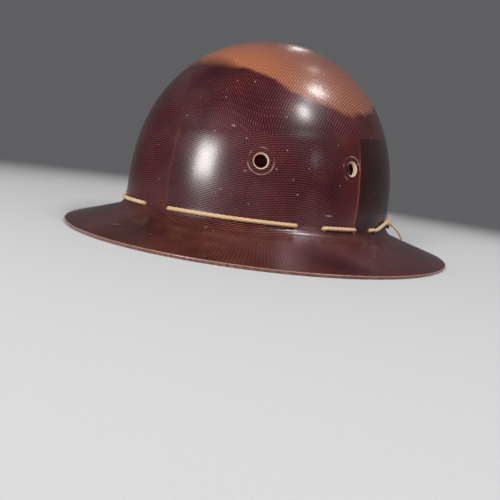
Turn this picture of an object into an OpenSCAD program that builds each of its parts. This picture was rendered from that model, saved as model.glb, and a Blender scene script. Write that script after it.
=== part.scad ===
// Full-brim safety helmet: a moulded laminate shell, a lace through its base,
// and the webbing cradle, headband and nape buckle that the lace carries.
// The front faces -Y, the wearer's left is +X, and the brim stands on z = 0.

/* [Shell] */
// Outside width of the crown at its base
crown_w = 184.6; // [182:0.2:194]
// Outside length of the crown at its base
crown_l = 236; // [230:1:246]
// Height of the crown above its base plane
crown_h = 142.3; // [136:0.1:150]
// Height of the crown's base plane above the ground
crown_base_z = 14.6; // [13:0.2:16]
// How long the crown wall stays upright before it turns in
crown_fullness = 2.54; // [2.4:0.02:2.8]
// How round the top of the crown is
crown_roundness = 1.98; // [1.86:0.02:2.04]
// How far the crown's base stands ahead of the brim's centre
crown_forward = 3.4; // [2:0.2:5]
// How far the top of the crown leans back
crown_lean = 3.1; // [0:0.1:5]
// Overall width across the brim
brim_w = 290.4; // [280:0.2:304]
// Overall length along the brim
brim_l = 326.8; // [316:0.2:340]
// Height at which the brim's slope meets the crown wall
brim_root_z = 16.6; // [15:0.2:19]
// How far the middle of the brim sags below a straight slope
brim_sag = 0.2; // [0:0.1:1]
// Length of the fillet between wall and brim along each
fillet_len = 9; // [8:0.5:11]
// Thickness of the laminate
wall_t = 2.8; // [2.4:0.1:3.2]
// Width of the sanded bevel on the brim's edge
edge_bevel = 0.6; // [0.3:0.1:0.9]
// Depth of the flat that is sanded under the brim's edge
edge_flat = 0.45; // [0.3:0.05:0.6]

/* [Vents] */
// Diameter of a vent hole
vent_d = 9.1; // [7:0.1:10.5]
// Diameter of a vent's chamfer at the outside
vent_flare_d = 11.2; // [11:0.1:14]
// Depth of a vent's chamfer
vent_flare_depth = 0.9; // [0.5:0.1:1.5]
// Height of the front vents
front_vent_z = 61.4; // [54:0.2:74]
// Angle of the front vents ahead of the crown's middle
front_vent_angle = 33.6; // [28:0.2:40]
// Height of the side vents
side_vent_z = 65; // [54:0.5:74]
// Angle of the side vents behind the crown's middle
side_vent_angle = 3; // [0:0.5:8]

/* [Lace] */
// Diameter of the braided lace
lace_d = 3.2; // [2.6:0.1:3.4]
// Diameter of a lace hole
lace_hole_d = 4.2; // [4:0.1:4.8]
// Gap between the lace and the wall it lies on
lace_gap = 0.35; // [0.3:0.05:0.5]
// Radius of the lace's bend into a hole
lace_bend = 2.3; // [2.1:0.1:2.5]
// Half the angle of the short stitch at the front and back
stitch_front_angle = 11.4; // [11:0.2:12]
// Half the angle of the short stitch at each side
stitch_side_angle = 7.3; // [6.7:0.2:7.7]
// Angle from the side at which a long stitch starts
stitch_from_angle = 18.3; // [17.9:0.2:19.1]
// Angle from the side at which a long stitch ends
stitch_to_angle = 65; // [64:0.2:65.4]
// Place on the fillet at which the lace holes lie, 0 at its top and 1 at its foot
lace_place = 0.21; // [0.18:0.01:0.28]
// Angle of the knot from the wearer's left side towards the back
knot_angle = 34; // [31:1:38]
// Height of the knot, which the tension draws up the crown
knot_z = 28; // [27:0.5:30]
// Radius of the knot
knot_r = 2.7; // [2.4:0.1:3]
// Length of the knot
knot_l = 7; // [6:0.5:8]
// Diameter of the knot's tails
tail_d = 1.8; // [1.4:0.1:2]
// Length of the knot's short tail
tail_up = 6; // [4:0.5:8]
// How far the long tail reaches out over the brim
tail_out = 14; // [11:0.5:16]
// Angle from the knot to the end of its long tail
tail_turn_angle = 9; // [4:1:9]
// Height of the long tail's end above the brim
tail_lift = 2.4; // [1.4:0.2:4]

/* [Cradle] */
// Width of the cradle's webbing
strap_w = 16; // [14:0.5:16.5]
// Thickness of the cradle's webbing
strap_t = 1.2; // [1:0.1:1.3]
// Height of the lowest strap where the straps cross
cradle_z = 110; // [102:1:116]
// Inside radius of a strap's loop round the lace
loop_r = 2.15; // [2.1:0.05:2.3]
// Room between a strap's loop and the shell
loop_room = 1.3; // [1.2:0.1:1.5]
// Height of a strap's sewn end above the rivet
fold_up = 5; // [4:0.5:6]
// Clearance between cradle pieces that lie on each other
soft_gap = 0.3; // [0.25:0.05:0.35]
// Diameter of the crown pad
pad_d = 64; // [50:1:70]
// Thickness of the crown pad
pad_t = 3; // [2:0.2:4]

/* [Headband] */
// Room between the headband and the crown's base at each side
side_room = 12.3; // [11.8:0.1:14.3]
// Room between the headband and the crown's base at the front and back
end_room = 15.5; // [15:0.1:17]
// Angle at the headband's arc centres where its end arcs meet its side arcs
band_meet_angle = 45; // [44:0.5:46]
// Thickness of the headband
band_t = 1.2; // [1:0.1:1.5]
// Height of the headband's lower edge above the ground
band_z = 6; // [5:0.5:7]
// Height of the headband from edge to edge
band_h = 30; // [29:0.5:32]
// Half the angle of the headband's opening at the nape
nape_half_angle = 8; // [6:0.5:9]
// Thickness of the leather sweatband
leather_t = 1.6; // [1.2:0.1:2]

/* [Rivets] */
// Diameter of a rivet's head
rivet_head_d = 6; // [5:0.2:6.4]
// Diameter of a rivet's shank
rivet_d = 2.6; // [2.2:0.1:3]
// Thickness of a rivet's head
rivet_head_t = 0.7; // [0.5:0.1:0.9]
// Height of the strap rivets above the headband's lower edge
rivet_up = 25; // [24:0.2:25.6]
// Clearance of a rivet's shank in its hole
rivet_room = 0.2; // [0.1:0.05:0.3]

/* [Nape buckle] */
// Width of the nape strap
nape_w = 14; // [12:0.5:15]
// Thickness of the nape strap
nape_t = 1.2; // [1:0.1:1.3]
// Height of the nape strap's middle above the headband's lower edge
nape_up = 9.5; // [9:0.25:10]
// Angle at the back from the middle of the nape to the strap's riveted end
nape_root_angle = 38; // [37:0.5:40]
// Distance from the nape strap's riveted end to its first rivet
nape_rivet_edge = 3.1; // [3:0.1:3.6]
// Distance between the nape strap's two rivets
nape_rivet_pitch = 5.1; // [5:0.1:6]
// Diameter of a nape rivet's shank
nape_rivet_d = 2; // [1.8:0.1:2.2]
// Diameter of a nape rivet's head
nape_rivet_head_d = 4.6; // [4.2:0.1:4.8]
// Length of the nape strap's free tail past the back arc
nape_tail = 24; // [20:0.5:26]
// Thickness of the buckle's sheet metal
buckle_t = 0.8; // [0.6:0.05:0.85]
// Angle at the back from the middle of the nape to the buckle's near edge
buckle_from_angle = 29.5; // [29:0.25:30.5]
// Length of the buckle along the band
buckle_l = 12.5; // [12:0.25:13]
// Diameter of the buckle's hinge pin
pin_d = 1.6; // [1.4:0.1:1.8]
// Wall of the lever's knuckle round its pin
knuckle_t = 0.75; // [0.6:0.05:0.85]
// Length of the buckle's lever from its pin
lever_l = 7; // [6:0.25:7.5]
// Length of the keeper loop along the strap
keeper_l = 5; // [4:0.25:6]
// Running clearance beside a moving piece
run_gap = 0.3; // [0.25:0.05:0.35]
// Radial clearance of a hinge pin
pin_gap = 0.05; // [0.03:0.01:0.08]

/* [Hidden] */
$fn = 48;

// Shell outline. A station is [share of the crown's outline, reach along the
// brim from 0 to 1, height].
shell_around = 64;
brim_steps = 3;
fillet_steps = 5;
crown_steps = 12;
crown_rx = crown_w / 2;
crown_ry = crown_l / 2;
brim_rx = brim_w / 2;
brim_ry = brim_l / 2;
brim_reach = (brim_rx - crown_rx + brim_ry - crown_ry) / 2;
edge_slope = atan((brim_root_z - 4 * brim_sag) / brim_reach);
brim_edge_z = wall_t * cos(edge_slope) - edge_bevel * tan(edge_slope) - edge_flat;
fillet_reach = fillet_len / brim_reach;
bevel_reach = edge_bevel / brim_reach;
fillet_top_z = brim_root_z + fillet_len;
// Steps along the outline at which its directions are measured
probe_angle = 0.5;
probe_place = 0.02;
probe_z = 0.5;

function crown_share(z) =
    pow(max(0, 1 - pow(max(0, z - crown_base_z) / crown_h, crown_fullness)), 1 / crown_roundness);

function brim_z(reach) =
    brim_edge_z + (brim_root_z - brim_edge_z) * (1 - reach) - 4 * brim_sag * reach * (1 - reach);

function blend3(a, b, c, t) = a * pow(1 - t, 2) + b * 2 * t * (1 - t) + c * t * t;

function brim_station(reach) = [1, reach, brim_z(reach)];

function fillet_station(t) =
    blend3(
        [crown_share(fillet_top_z), 0, fillet_top_z],
        [1, 0, brim_root_z],
        brim_station(fillet_reach),
        t
    );

function crown_station(z) = [crown_share(z), 0, z];

function station_point(s, a) = [
    cos(a) * (crown_rx * s[0] + (brim_rx - crown_rx) * s[1]),
    sin(a) * (crown_ry * s[0] + (brim_ry - crown_ry) * s[1])
        - crown_forward * (1 - s[1]) + crown_lean * (1 - s[0]),
    s[2]
];

function unit(v) = v / norm(v);

// Outward normal from two nearby stations and the outline's direction
function station_normal(upper, lower, a) =
    unit(cross(
        station_point(lower, a + probe_angle) - station_point(lower, a - probe_angle),
        station_point(upper, a) - station_point(lower, a)
    ));

function fillet_point(t, a) = station_point(fillet_station(t), a);
function fillet_normal(t, a) =
    station_normal(fillet_station(t - probe_place), fillet_station(t + probe_place), a);
function fillet_along(t, a) =
    unit(fillet_point(t, a + probe_angle) - fillet_point(t, a - probe_angle));
function crown_normal(z, a) =
    station_normal(crown_station(z + probe_z), crown_station(z - probe_z), a);

crown_angle_0 = asin((fillet_top_z - crown_base_z) / crown_h);
outer_stations = concat(
    [for (i = [0 : brim_steps - 1])
        brim_station(1 - bevel_reach - (1 - bevel_reach - fillet_reach) * i / brim_steps)],
    [for (i = [0 : fillet_steps]) fillet_station(1 - i / fillet_steps)],
    [for (i = [1 : crown_steps - 1])
        crown_station(crown_base_z + crown_h * sin(crown_angle_0 + (90 - crown_angle_0) * i / crown_steps))]
);
outer_n = len(outer_stations);

function outer_normal(i, a) =
    station_normal(
        outer_stations[min(i + 1, outer_n - 1)],
        i == 0 ? brim_station(1) : outer_stations[i - 1],
        a
    );

function wall_ring(i, depth) = [
    for (j = [0 : shell_around - 1])
        let (a = 360 * j / shell_around)
        station_point(outer_stations[i], a) - depth * outer_normal(i, a)
];

function edge_ring(depth) = [
    for (j = [0 : shell_around - 1])
        let (a = 360 * j / shell_around)
        station_point(brim_station(1), a) - depth * outer_normal(0, a)
];

// Rings run from the inner apex down the inside, round the edge and up the outside
shell_rings = concat(
    [for (i = [outer_n - 1 : -1 : 0]) wall_ring(i, wall_t)],
    [edge_ring(wall_t - edge_bevel), edge_ring(edge_bevel)],
    [for (i = [0 : outer_n - 1]) wall_ring(i, 0)]
);
shell_apex_y = crown_lean - crown_forward;
shell_top_z = crown_base_z + crown_h;

// Closed solid through rings of equal count that turn anticlockwise about
// the way they advance, with a tip point closing each end
module ring_solid(rings, first_tip, last_tip) {
    n = len(rings[0]);
    m = len(rings);
    points = concat([for (r = rings) each r], [first_tip, last_tip]);
    faces = concat(
        [for (j = [0 : n - 1]) [m * n, j, (j + 1) % n]],
        [for (k = [0 : m - 2]) for (j = [0 : n - 1])
            let (p = k * n + j, q = k * n + (j + 1) % n)
            each [[p, p + n, q], [q, p + n, q + n]]],
        [for (j = [0 : n - 1]) [m * n + 1, (m - 1) * n + (j + 1) % n, (m - 1) * n + j]]
    );
    polyhedron(points, faces, convexity = 6);
}

// Round tube through a list of points, with rings turned to halve each bend
tube_sides = 8;
module tube(points, d) {
    last = len(points) - 1;
    rings = [
        for (i = [0 : last])
            let (
                ahead = points[min(i + 1, last)] - points[i],
                behind = points[i] - points[max(i - 1, 0)],
                way = i == 0 ? unit(ahead) : i == last ? unit(behind) : unit(unit(ahead) + unit(behind)),
                side = unit(cross(way, [0, 0, 1])),
                lift = cross(side, way)
            )
            [for (k = [0 : tube_sides - 1])
                let (a = 360 * (k + 0.5) / tube_sides)
                points[i] + d / 2 * (cos(a) * side + sin(a) * lift)]
    ];
    ring_solid([for (r = rings) [for (k = [tube_sides - 1 : -1 : 0]) r[k]]], points[0], points[last]);
}

// Puts its children on a point with their Z along a direction
module place_on(point, direction) {
    translate(point)
        rotate([0, acos(direction[2] / norm(direction)), atan2(direction[1], direction[0])])
            children();
}

// Lace route. An inside stitch carries a strap's loop, so it lies square to
// the strap and is deeper at one of its holes, by the leans below.
lace_out = lace_d / 2 + lace_gap;
lace_in = wall_t + loop_r + strap_t + loop_room;
loop_side = (stitch_side_angle + stitch_from_angle) / 2;
loop_end = (stitch_to_angle + 90 - stitch_front_angle) / 2;
loop_side_span = (stitch_from_angle - stitch_side_angle) / 2;
loop_end_span = (90 - stitch_front_angle - stitch_to_angle) / 2;

function lace_point(a, out) = fillet_point(lace_place, a) + out * fillet_normal(lace_place, a);

function stitch_lean(a, span) =
    let (
        from = lace_point(a - span, -lace_in),
        to = lace_point(a + span, -lace_in),
        middle = (from + to) / 2 + [0, crown_forward, 0],
        chord = to - from
    )
    norm(chord) / 2 * tan(atan2(middle[1], middle[0]) - atan2(-chord[0], chord[1]));

side_lean = stitch_lean(loop_side, loop_side_span);
end_lean = stitch_lean(loop_end, loop_end_span);

// Lace holes as [angle, lean]: one quarter, mirrored to all four, in order
// from the long stitch that carries the knot
lace_quarter = [
    [stitch_side_angle, -side_lean],
    [stitch_from_angle, side_lean],
    [stitch_to_angle, -end_lean],
    [90 - stitch_front_angle, end_lean]
];
lace_holes = concat(
    [lace_quarter[2], lace_quarter[3]],
    [for (i = [3 : -1 : 0]) [180 - lace_quarter[i][0], lace_quarter[i][1]]],
    [for (i = [0 : 3]) [180 + lace_quarter[i][0], lace_quarter[i][1]]],
    [for (i = [3 : -1 : 0]) [360 - lace_quarter[i][0], lace_quarter[i][1]]],
    [for (i = [0 : 1]) [360 + lace_quarter[i][0], lace_quarter[i][1]]]
);
// Vents as [angle, height]
vents = [
    [-front_vent_angle, front_vent_z],
    [side_vent_angle, side_vent_z],
    [180 + front_vent_angle, front_vent_z],
    [180 - side_vent_angle, side_vent_z]
];

module shell() {
    cut_depth = 3 * wall_t;
    color([0.27, 0.09, 0.08])
    difference() {
        ring_solid(
            shell_rings,
            [0, shell_apex_y, shell_top_z - wall_t],
            [0, shell_apex_y, shell_top_z]
        );
        translate([0, 0, -crown_base_z])
            cube([2 * brim_w, 2 * brim_l, 2 * crown_base_z], center = true);
        for (hole = lace_holes)
            place_on(lace_point(hole[0], 0), fillet_normal(lace_place, hole[0]))
                cylinder(h = 2 * cut_depth, d = lace_hole_d, $fn = 24, center = true);
        for (v = vents)
            place_on(station_point(crown_station(v[1]), v[0]), crown_normal(v[1], v[0])) {
                cylinder(h = 2 * cut_depth, d = vent_d, center = true);
                translate([0, 0, -vent_flare_depth])
                    cylinder(
                        h = 2 * vent_flare_depth,
                        d1 = vent_d,
                        d2 = 2 * vent_flare_d - vent_d
                    );
            }
    }
}

bend_rise = lace_bend * (1 - cos(45));
stitch_step = 6;

// Three points that turn the lace from a run "out" of the shell, which leaves
// the hole along way, into the hole
function hole_turn(a, out, way) =
    let (
        p = lace_point(a, 0),
        n = fillet_normal(lace_place, a)
    )
    [
        p + out * n + lace_bend * way,
        p + (out - sign(out) * bend_rise) * n + bend_rise * way,
        p + (out - sign(out) * lace_bend) * n
    ];

function back(list) = [for (i = [len(list) - 1 : -1 : 0]) list[i]];

// Way through one hole: even holes take the lace in, odd ones out again
function hole_way(i) =
    let (
        hole = lace_holes[i],
        mate = lace_holes[i % 2 == 0 ? i + 1 : i - 1],
        depth = lace_in + hole[1],
        inward = unit(lace_point(mate[0], -lace_in - mate[1]) - lace_point(hole[0], -depth)),
        outward = fillet_along(lace_place, hole[0])
    )
    i % 2 == 0
        ? concat(hole_turn(hole[0], lace_out, -outward), back(hole_turn(hole[0], -depth, inward)))
        : concat(hole_turn(hole[0], -depth, inward), back(hole_turn(hole[0], lace_out, outward)));

// Points of an outside stitch between two holes, clear of their bends
function outside_run(from, to) =
    let (n = ceil((to - from) / stitch_step))
    [for (i = [1 : n - 1]) lace_point(from + (to - from) * i / n, lace_out)];

knot_out = knot_r + lace_gap;
knot_point = station_point(crown_station(knot_z), knot_angle)
    + knot_out * crown_normal(knot_z, knot_angle);
knot_way = fillet_along(0, knot_angle);
// Angle beside the knot in which the lace draws up to it
knot_room_angle = 7;
// Hairline gap between pieces that are pressed on each other
press_gap = soft_gap / 3;
knot_seat = knot_l / 2 + press_gap;
knot_lead = lace_d * 0.3;
lace_route = concat(
    [knot_point + knot_way * knot_seat, knot_point + knot_way * (knot_seat + knot_lead)],
    outside_run(knot_angle + knot_room_angle, stitch_to_angle),
    [for (i = [0 : 15])
        each concat(
            hole_way(i),
            i % 2 == 1 && i < 15 ? outside_run(lace_holes[i][0], lace_holes[i + 1][0]) : []
        )],
    outside_run(360 + stitch_from_angle, 360 + knot_angle - knot_room_angle),
    [knot_point - knot_way * (knot_seat + knot_lead), knot_point - knot_way * knot_seat]
);

module lace() {
    color([0.85, 0.68, 0.45])
        tube(lace_route, lace_d);
}

tail_station = brim_station(tail_out / brim_reach);
tail_end = station_point(tail_station, knot_angle + tail_turn_angle) + [0, 0, tail_lift];

module lace_knot() {
    tail_bow = tail_d / 3 * [1, 1, 2];
    color([0.8, 0.62, 0.4]) {
        place_on(knot_point, knot_way)
            rotate_extrude()
                polygon([
                    [0, -knot_l / 2],
                    [lace_d / 2, -knot_l / 2],
                    [knot_r * 0.85, -knot_l * 0.32],
                    [knot_r, -knot_l * 0.16],
                    [knot_r * 0.8, 0],
                    [knot_r, knot_l * 0.16],
                    [knot_r * 0.85, knot_l * 0.32],
                    [lace_d / 2, knot_l / 2],
                    [0, knot_l / 2]
                ]);
        tube(
            [
                knot_point,
                knot_point + (tail_end - knot_point) / 3 + tail_bow,
                knot_point + (tail_end - knot_point) * 2 / 3 + tail_bow,
                tail_end
            ],
            tail_d
        );
        tube(
            [
                knot_point,
                knot_point + [0.3, 0.1, 0.8] * tail_up / 2,
                knot_point + [0.2, 0, 1] * tail_up
            ],
            tail_d
        );
    }
}

// Headband oval: two end arcs and two side arcs that meet at one tangent.
// Places on it are taken from the crown's axis.
band_a = crown_rx - side_room;
band_b = crown_ry - end_room;
tangent_a = band_meet_angle;
band_end_r = (band_a - band_b * tan(tangent_a / 2)) / (1 - tan(tangent_a / 2));
end_c = band_b - band_end_r;
side_c = end_c / tan(tangent_a);
band_side_r = band_a + side_c;
end_half = 90 - tangent_a;
tangent_polar = atan2(
    band_side_r * sin(tangent_a),
    band_side_r * cos(tangent_a) - side_c
);

// Distance from the crown's axis to the headband's outer face at a polar angle
function band_rho(polar) =
    let (c = abs(cos(polar)), s = abs(sin(polar)))
    atan2(s, c) > tangent_polar
        ? end_c * s + sqrt(pow(band_end_r, 2) - pow(end_c * c, 2))
        : -side_c * c + sqrt(pow(band_side_r, 2) - pow(side_c * s, 2));

module on_crown_axis() {
    translate([0, -crown_forward, 0])
        children();
}

// The oval that lies "out" from the headband's outer face
module oval(out) {
    end_r = band_end_r + out;
    side_r = band_side_r + out;
    intersection() {
        translate([-side_c, 0])
            circle(r = side_r, $fn = 180);
        translate([side_c, 0])
            circle(r = side_r, $fn = 180);
        square([2 * side_r, 2 * (end_c + end_r * sin(tangent_a))], center = true);
    }
    for (end = [-1, 1])
        translate([0, end * end_c])
            circle(r = end_r, $fn = 180);
}

// Wall of thickness t outside that oval, open over half-angle "gap" at the back
module oval_wall(out, t, z, h, gap) {
    opening = 2 * band_b * tan(gap);
    on_crown_axis()
        translate([0, 0, z])
            linear_extrude(h)
                difference() {
                    oval(out + t);
                    oval(out);
                    polygon([
                        [0, end_c],
                        [opening, end_c + 2 * band_b],
                        [-opening, end_c + 2 * band_b]
                    ]);
                }
}

// Cradle straps. Each runs in one upright plane through the crown's axis from
// loop to loop: [angle of its first loop, half span of the stitch, lean there]
straps = [
    [loop_side, loop_side_span, side_lean],
    [180 - loop_side, loop_side_span, -side_lean],
    [loop_end, loop_end_span, end_lean],
    [180 - loop_end, loop_end_span, -end_lean]
];
// How full the straps' dome is, 2 for an ellipse
cradle_power = 2.3;
cradle_foot_z = band_z + band_h;
stack_step = 1.5 * strap_t;
fold_gap = strap_t / 8;
loop_mid_r = loop_r + strap_t / 2;
rivet_z = band_z + rivet_up;
seat_z = rivet_z - rivet_head_d / 2 - strap_t / 3;

// Middle of the inside stitch that arm 0 or the opposite arm 1 loops round,
// taken from the crown's axis
function loop_place(s, arm) =
    let (
        a = straps[s][0] + 180 * arm,
        span = straps[s][1],
        lean = straps[s][2]
    )
    (lace_point(a - span, lean - lace_in) + lace_point(a + span, -lean - lace_in)) / 2
        + [0, crown_forward, 0];

function strap_polar(s) =
    let (p = loop_place(s, 0))
    atan2(p[1], p[0]);

// How far the headband reaches along a strap's plane over the strap's width
function band_reach(polar) =
    let (
        c = abs(cos(polar)),
        s = abs(sin(polar)),
        half = strap_w / 2
    )
    atan2(s, c) > tangent_polar
        ? end_c * s + sqrt(pow(band_end_r, 2) - pow(max(0, end_c * c - half), 2))
        : -side_c * c + sqrt(pow(band_side_r, 2) - pow(max(0, side_c * s - half), 2));

// Distance from the crown's axis to the middle of an arm on the headband
function arm_rho(s) = band_reach(strap_polar(s)) + soft_gap + strap_t / 2;

// Loop centre of an arm in the strap's plane, as [distance, height]
function arm_loop(s, arm) =
    let (
        p = loop_place(s, arm),
        polar = strap_polar(s) + 180 * arm
    )
    [p[0] * cos(polar) + p[1] * sin(polar), p[2]];

// Middle line of one arm, from its sewn end round the loop and up to the crown
arc_steps = 8;
dome_steps = 13;
function arm_line(s, arm) =
    let (
        rho = arm_rho(s),
        c = arm_loop(s, arm),
        top = cradle_z + s * stack_step,
        fold_off = strap_t + fold_gap,
        loop_in = c[0] - loop_mid_r,
        arm_foot = [
            [rho, rivet_z + fold_up],
            [rho, seat_z],
            [loop_in, c[1] + loop_mid_r],
            [loop_in, c[1]]
        ],
        fold = strip_side(arm_foot, fold_off),
        fold_arc = acos(fold_off / loop_mid_r - 1)
    )
    concat(
        [fold[0], fold[1], fold[2]],
        [for (i = [0 : arc_steps])
            let (a = fold_arc - (fold_arc + 180) * i / arc_steps)
            c + loop_mid_r * [cos(a), sin(a)]],
        [arm_foot[2], arm_foot[1], [rho, cradle_foot_z]],
        [for (i = [1 : dome_steps - 1])
            let (a = 90 - 90 * i / dome_steps)
            [
                rho * pow(sin(a), 2 / cradle_power),
                cradle_foot_z + (top - cradle_foot_z) * pow(cos(a), 2 / cradle_power)
            ]]
    );

function mirror_line(line) = [for (p = line) [-p[0], p[1]]];

// Outline of a strip of thickness t along a line
function strip_side(line, off) = [
    for (i = [0 : len(line) - 1])
        let (
            w = unit(line[min(i + 1, len(line) - 1)] - line[max(i - 1, 0)])
        )
        line[i] + off * [-w[1], w[0]]
];
function strip(line, t) = concat(strip_side(line, t / 2), back(strip_side(line, -t / 2)));

rivet_hole_d = rivet_d + rivet_room;

module strap_plane(s) {
    on_crown_axis()
        rotate([0, 0, strap_polar(s)])
            children();
}

module crown_strap(s) {
    line = concat(
        arm_line(s, 0),
        [[0, cradle_z + s * stack_step]],
        back(mirror_line(arm_line(s, 1)))
    );
    color([0.86, 0.83, 0.74])
    strap_plane(s)
        difference() {
            rotate([90, 0, 0])
                linear_extrude(strap_w, center = true)
                    polygon(strip(line, strap_t));
            for (arm = [0, 1])
                rotate([0, 0, 180 * arm])
                    translate([arm_rho(s), 0, rivet_z])
                        rotate([0, 90, 0])
                            cylinder(h = 6 * strap_t, d = rivet_hole_d, center = true);
        }
}

module crown_strap_1() { crown_strap(0); }
module crown_strap_2() { crown_strap(1); }
module crown_strap_3() { crown_strap(2); }
module crown_strap_4() { crown_strap(3); }

module crown_pad() {
    rho = arm_rho(0);
    steps = 6;
    drop = strap_t / 2 + soft_gap;
    top = [
        for (i = [0 : steps])
            let (r = pad_d / 2 * i / steps)
            [r, cradle_foot_z - drop
                + (cradle_z - cradle_foot_z) * pow(1 - pow(r / rho, cradle_power), 1 / cradle_power)]
    ];
    color([0.45, 0.28, 0.17])
    on_crown_axis()
        rotate_extrude($fn = 96)
            polygon(concat(top, back([for (p = top) p - [0, pad_t]])));
}

// Rivets. The headband's face turns away from a strap's plane by up to
// rivet_lean_angle, so a clinch stands off its inside by rivet_lean.
rivet_lean_angle = 11;
rivet_lean = rivet_head_d / 2 * tan(rivet_lean_angle);
leather_gap = rivet_head_t + 2 * rivet_lean + soft_gap;

// One rivet along +X: a head outside at "outer", a clinch inside at "inner"
module rivet(inner, outer, d, head_d) {
    rim_t = rivet_head_t * 0.4;
    rotate([0, 90, 0]) {
        translate([0, 0, inner - rivet_head_t])
            cylinder(h = outer - inner + 2 * rivet_head_t, d = d);
        translate([0, 0, inner - rivet_head_t])
            cylinder(h = rivet_head_t, d = head_d);
        translate([0, 0, outer])
            cylinder(h = rim_t, d = head_d);
        translate([0, 0, outer + rim_t])
            cylinder(h = rivet_head_t - rim_t, d1 = head_d, d2 = head_d * 0.6);
    }
}

module strap_rivets() {
    color([0.72, 0.6, 0.35])
    for (s = [0 : 3])
        for (arm = [0, 1])
            strap_plane(s)
                rotate([0, 0, 180 * arm])
                    translate([0, 0, rivet_z])
                        rivet(
                            band_rho(strap_polar(s)) - band_t - rivet_lean,
                            arm_rho(s) + 1.5 * strap_t + fold_gap + press_gap,
                            rivet_d,
                            rivet_head_d
                        );
}

// Back arc: angles are taken at its centre from the middle of the nape,
// positive towards the wearer's left
nape_z = band_z + nape_up;
buckle_clear = buckle_t + 2 * run_gap;
nape_in_r = band_end_r + buckle_clear;
function back_arc_sweep(l) = l / band_end_r * 180 / PI;
nape_rivet_angles = [
    -nape_root_angle + back_arc_sweep(nape_rivet_edge),
    -nape_root_angle + back_arc_sweep(nape_rivet_edge + nape_rivet_pitch)
];
nape_rivet_hole_d = nape_rivet_d + rivet_room;
buckle_sweep = back_arc_sweep(buckle_l);
buckle_rivet_angle = buckle_from_angle + buckle_sweep * 0.8;
buckle_rivet_z = nape_w / 4;

module on_back_arc(angle) {
    on_crown_axis()
        translate([0, end_c, 0])
            rotate([0, 0, 90 - angle])
                children();
}

module headband() {
    color([0.2, 0.15, 0.12])
    difference() {
        oval_wall(-band_t, band_t, band_z, band_h, nape_half_angle);
        for (s = [0 : 3])
            for (arm = [0, 1])
                strap_plane(s)
                    rotate([0, 0, 180 * arm])
                        translate([band_rho(strap_polar(s)) - band_t / 2, 0, rivet_z])
                            rotate([0, 90, 0])
                                cylinder(h = 6 * band_t, d = rivet_hole_d, center = true);
        for (a = nape_rivet_angles)
            on_back_arc(a)
                translate([band_end_r - band_t / 2, 0, nape_z])
                    rotate([0, 90, 0])
                        cylinder(h = 4 * band_t, d = nape_rivet_hole_d, center = true);
        for (up = [-1, 1])
            on_back_arc(buckle_rivet_angle)
                translate([band_end_r - band_t / 2, 0, nape_z + up * buckle_rivet_z])
                    rotate([0, 90, 0])
                        cylinder(h = 4 * band_t, d = nape_rivet_hole_d, center = true);
    }
}

// Leather lining: a wall inside the headband with a lip under its lower edge
module sweatband() {
    lining_out = -band_t - leather_gap - leather_t;
    lip_z = band_z - soft_gap - leather_t;
    color([0.55, 0.33, 0.19]) {
        oval_wall(lining_out, leather_t, lip_z, band_h + soft_gap + leather_t, nape_half_angle);
        oval_wall(lining_out + leather_t, leather_gap + band_t, lip_z, leather_t, nape_half_angle);
    }
}

// The nape strap lies on the headband at its riveted end, then comes out by
// buckle_clear to pass over the buckle's base, and ends on the side arc
strap_rise_sweep = 13;
strap_level_sweep = 3;
strap_rise_from = buckle_from_angle - strap_level_sweep - strap_rise_sweep;
tail_sweep = nape_tail / band_side_r * 180 / PI;
nape_step = 3;

function nape_rise(angle) =
    let (t = min(1, max(0, (angle - strap_rise_from) / strap_rise_sweep)))
    soft_gap + (buckle_clear - soft_gap) * t * t * (3 - 2 * t);

function nape_face(out) =
    let (
        n = ceil((end_half + nape_root_angle) / nape_step),
        m = ceil(tail_sweep / nape_step)
    )
    concat(
        [for (i = [0 : n])
            let (a = -nape_root_angle + (end_half + nape_root_angle) * i / n)
            [0, end_c] + (band_end_r + nape_rise(a) + out) * [sin(a), cos(a)]],
        [for (i = [1 : m])
            let (a = tangent_a - tail_sweep * i / m)
            [-side_c, 0] + (band_side_r + buckle_clear + out) * [cos(a), sin(a)]]
    );

module nape_strap() {
    color([0.5, 0.3, 0.17])
    difference() {
        on_crown_axis()
            translate([0, 0, nape_z - nape_w / 2])
                linear_extrude(nape_w)
                    polygon(concat(nape_face(nape_t), back(nape_face(0))));
        for (a = nape_rivet_angles)
            on_back_arc(a)
                translate([band_end_r + soft_gap, 0, nape_z])
                    rotate([0, 90, 0])
                        cylinder(h = 4 * nape_t, d = nape_rivet_hole_d, center = true);
    }
}

module nape_rivets() {
    color([0.72, 0.6, 0.35])
    for (a = nape_rivet_angles)
        on_back_arc(a)
            translate([0, 0, nape_z])
                rivet(
                    band_end_r - band_t - soft_gap,
                    band_end_r + soft_gap + nape_t + press_gap,
                    nape_rivet_d,
                    nape_rivet_head_d
                );
}

// Buckle: a base under the strap with two ears that carry the lever's pin.
// It lies over the headband with its running clearance.
ear_z = nape_w / 2 + run_gap;
base_in_r = band_end_r + run_gap;
knuckle_r = pin_d / 2 + pin_gap + knuckle_t;
pin_r = nape_in_r + nape_t + run_gap + knuckle_r;
pin_angle = buckle_from_angle + back_arc_sweep(knuckle_r + 2 * run_gap);
ear_l = 2 * knuckle_r + buckle_t;

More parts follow.
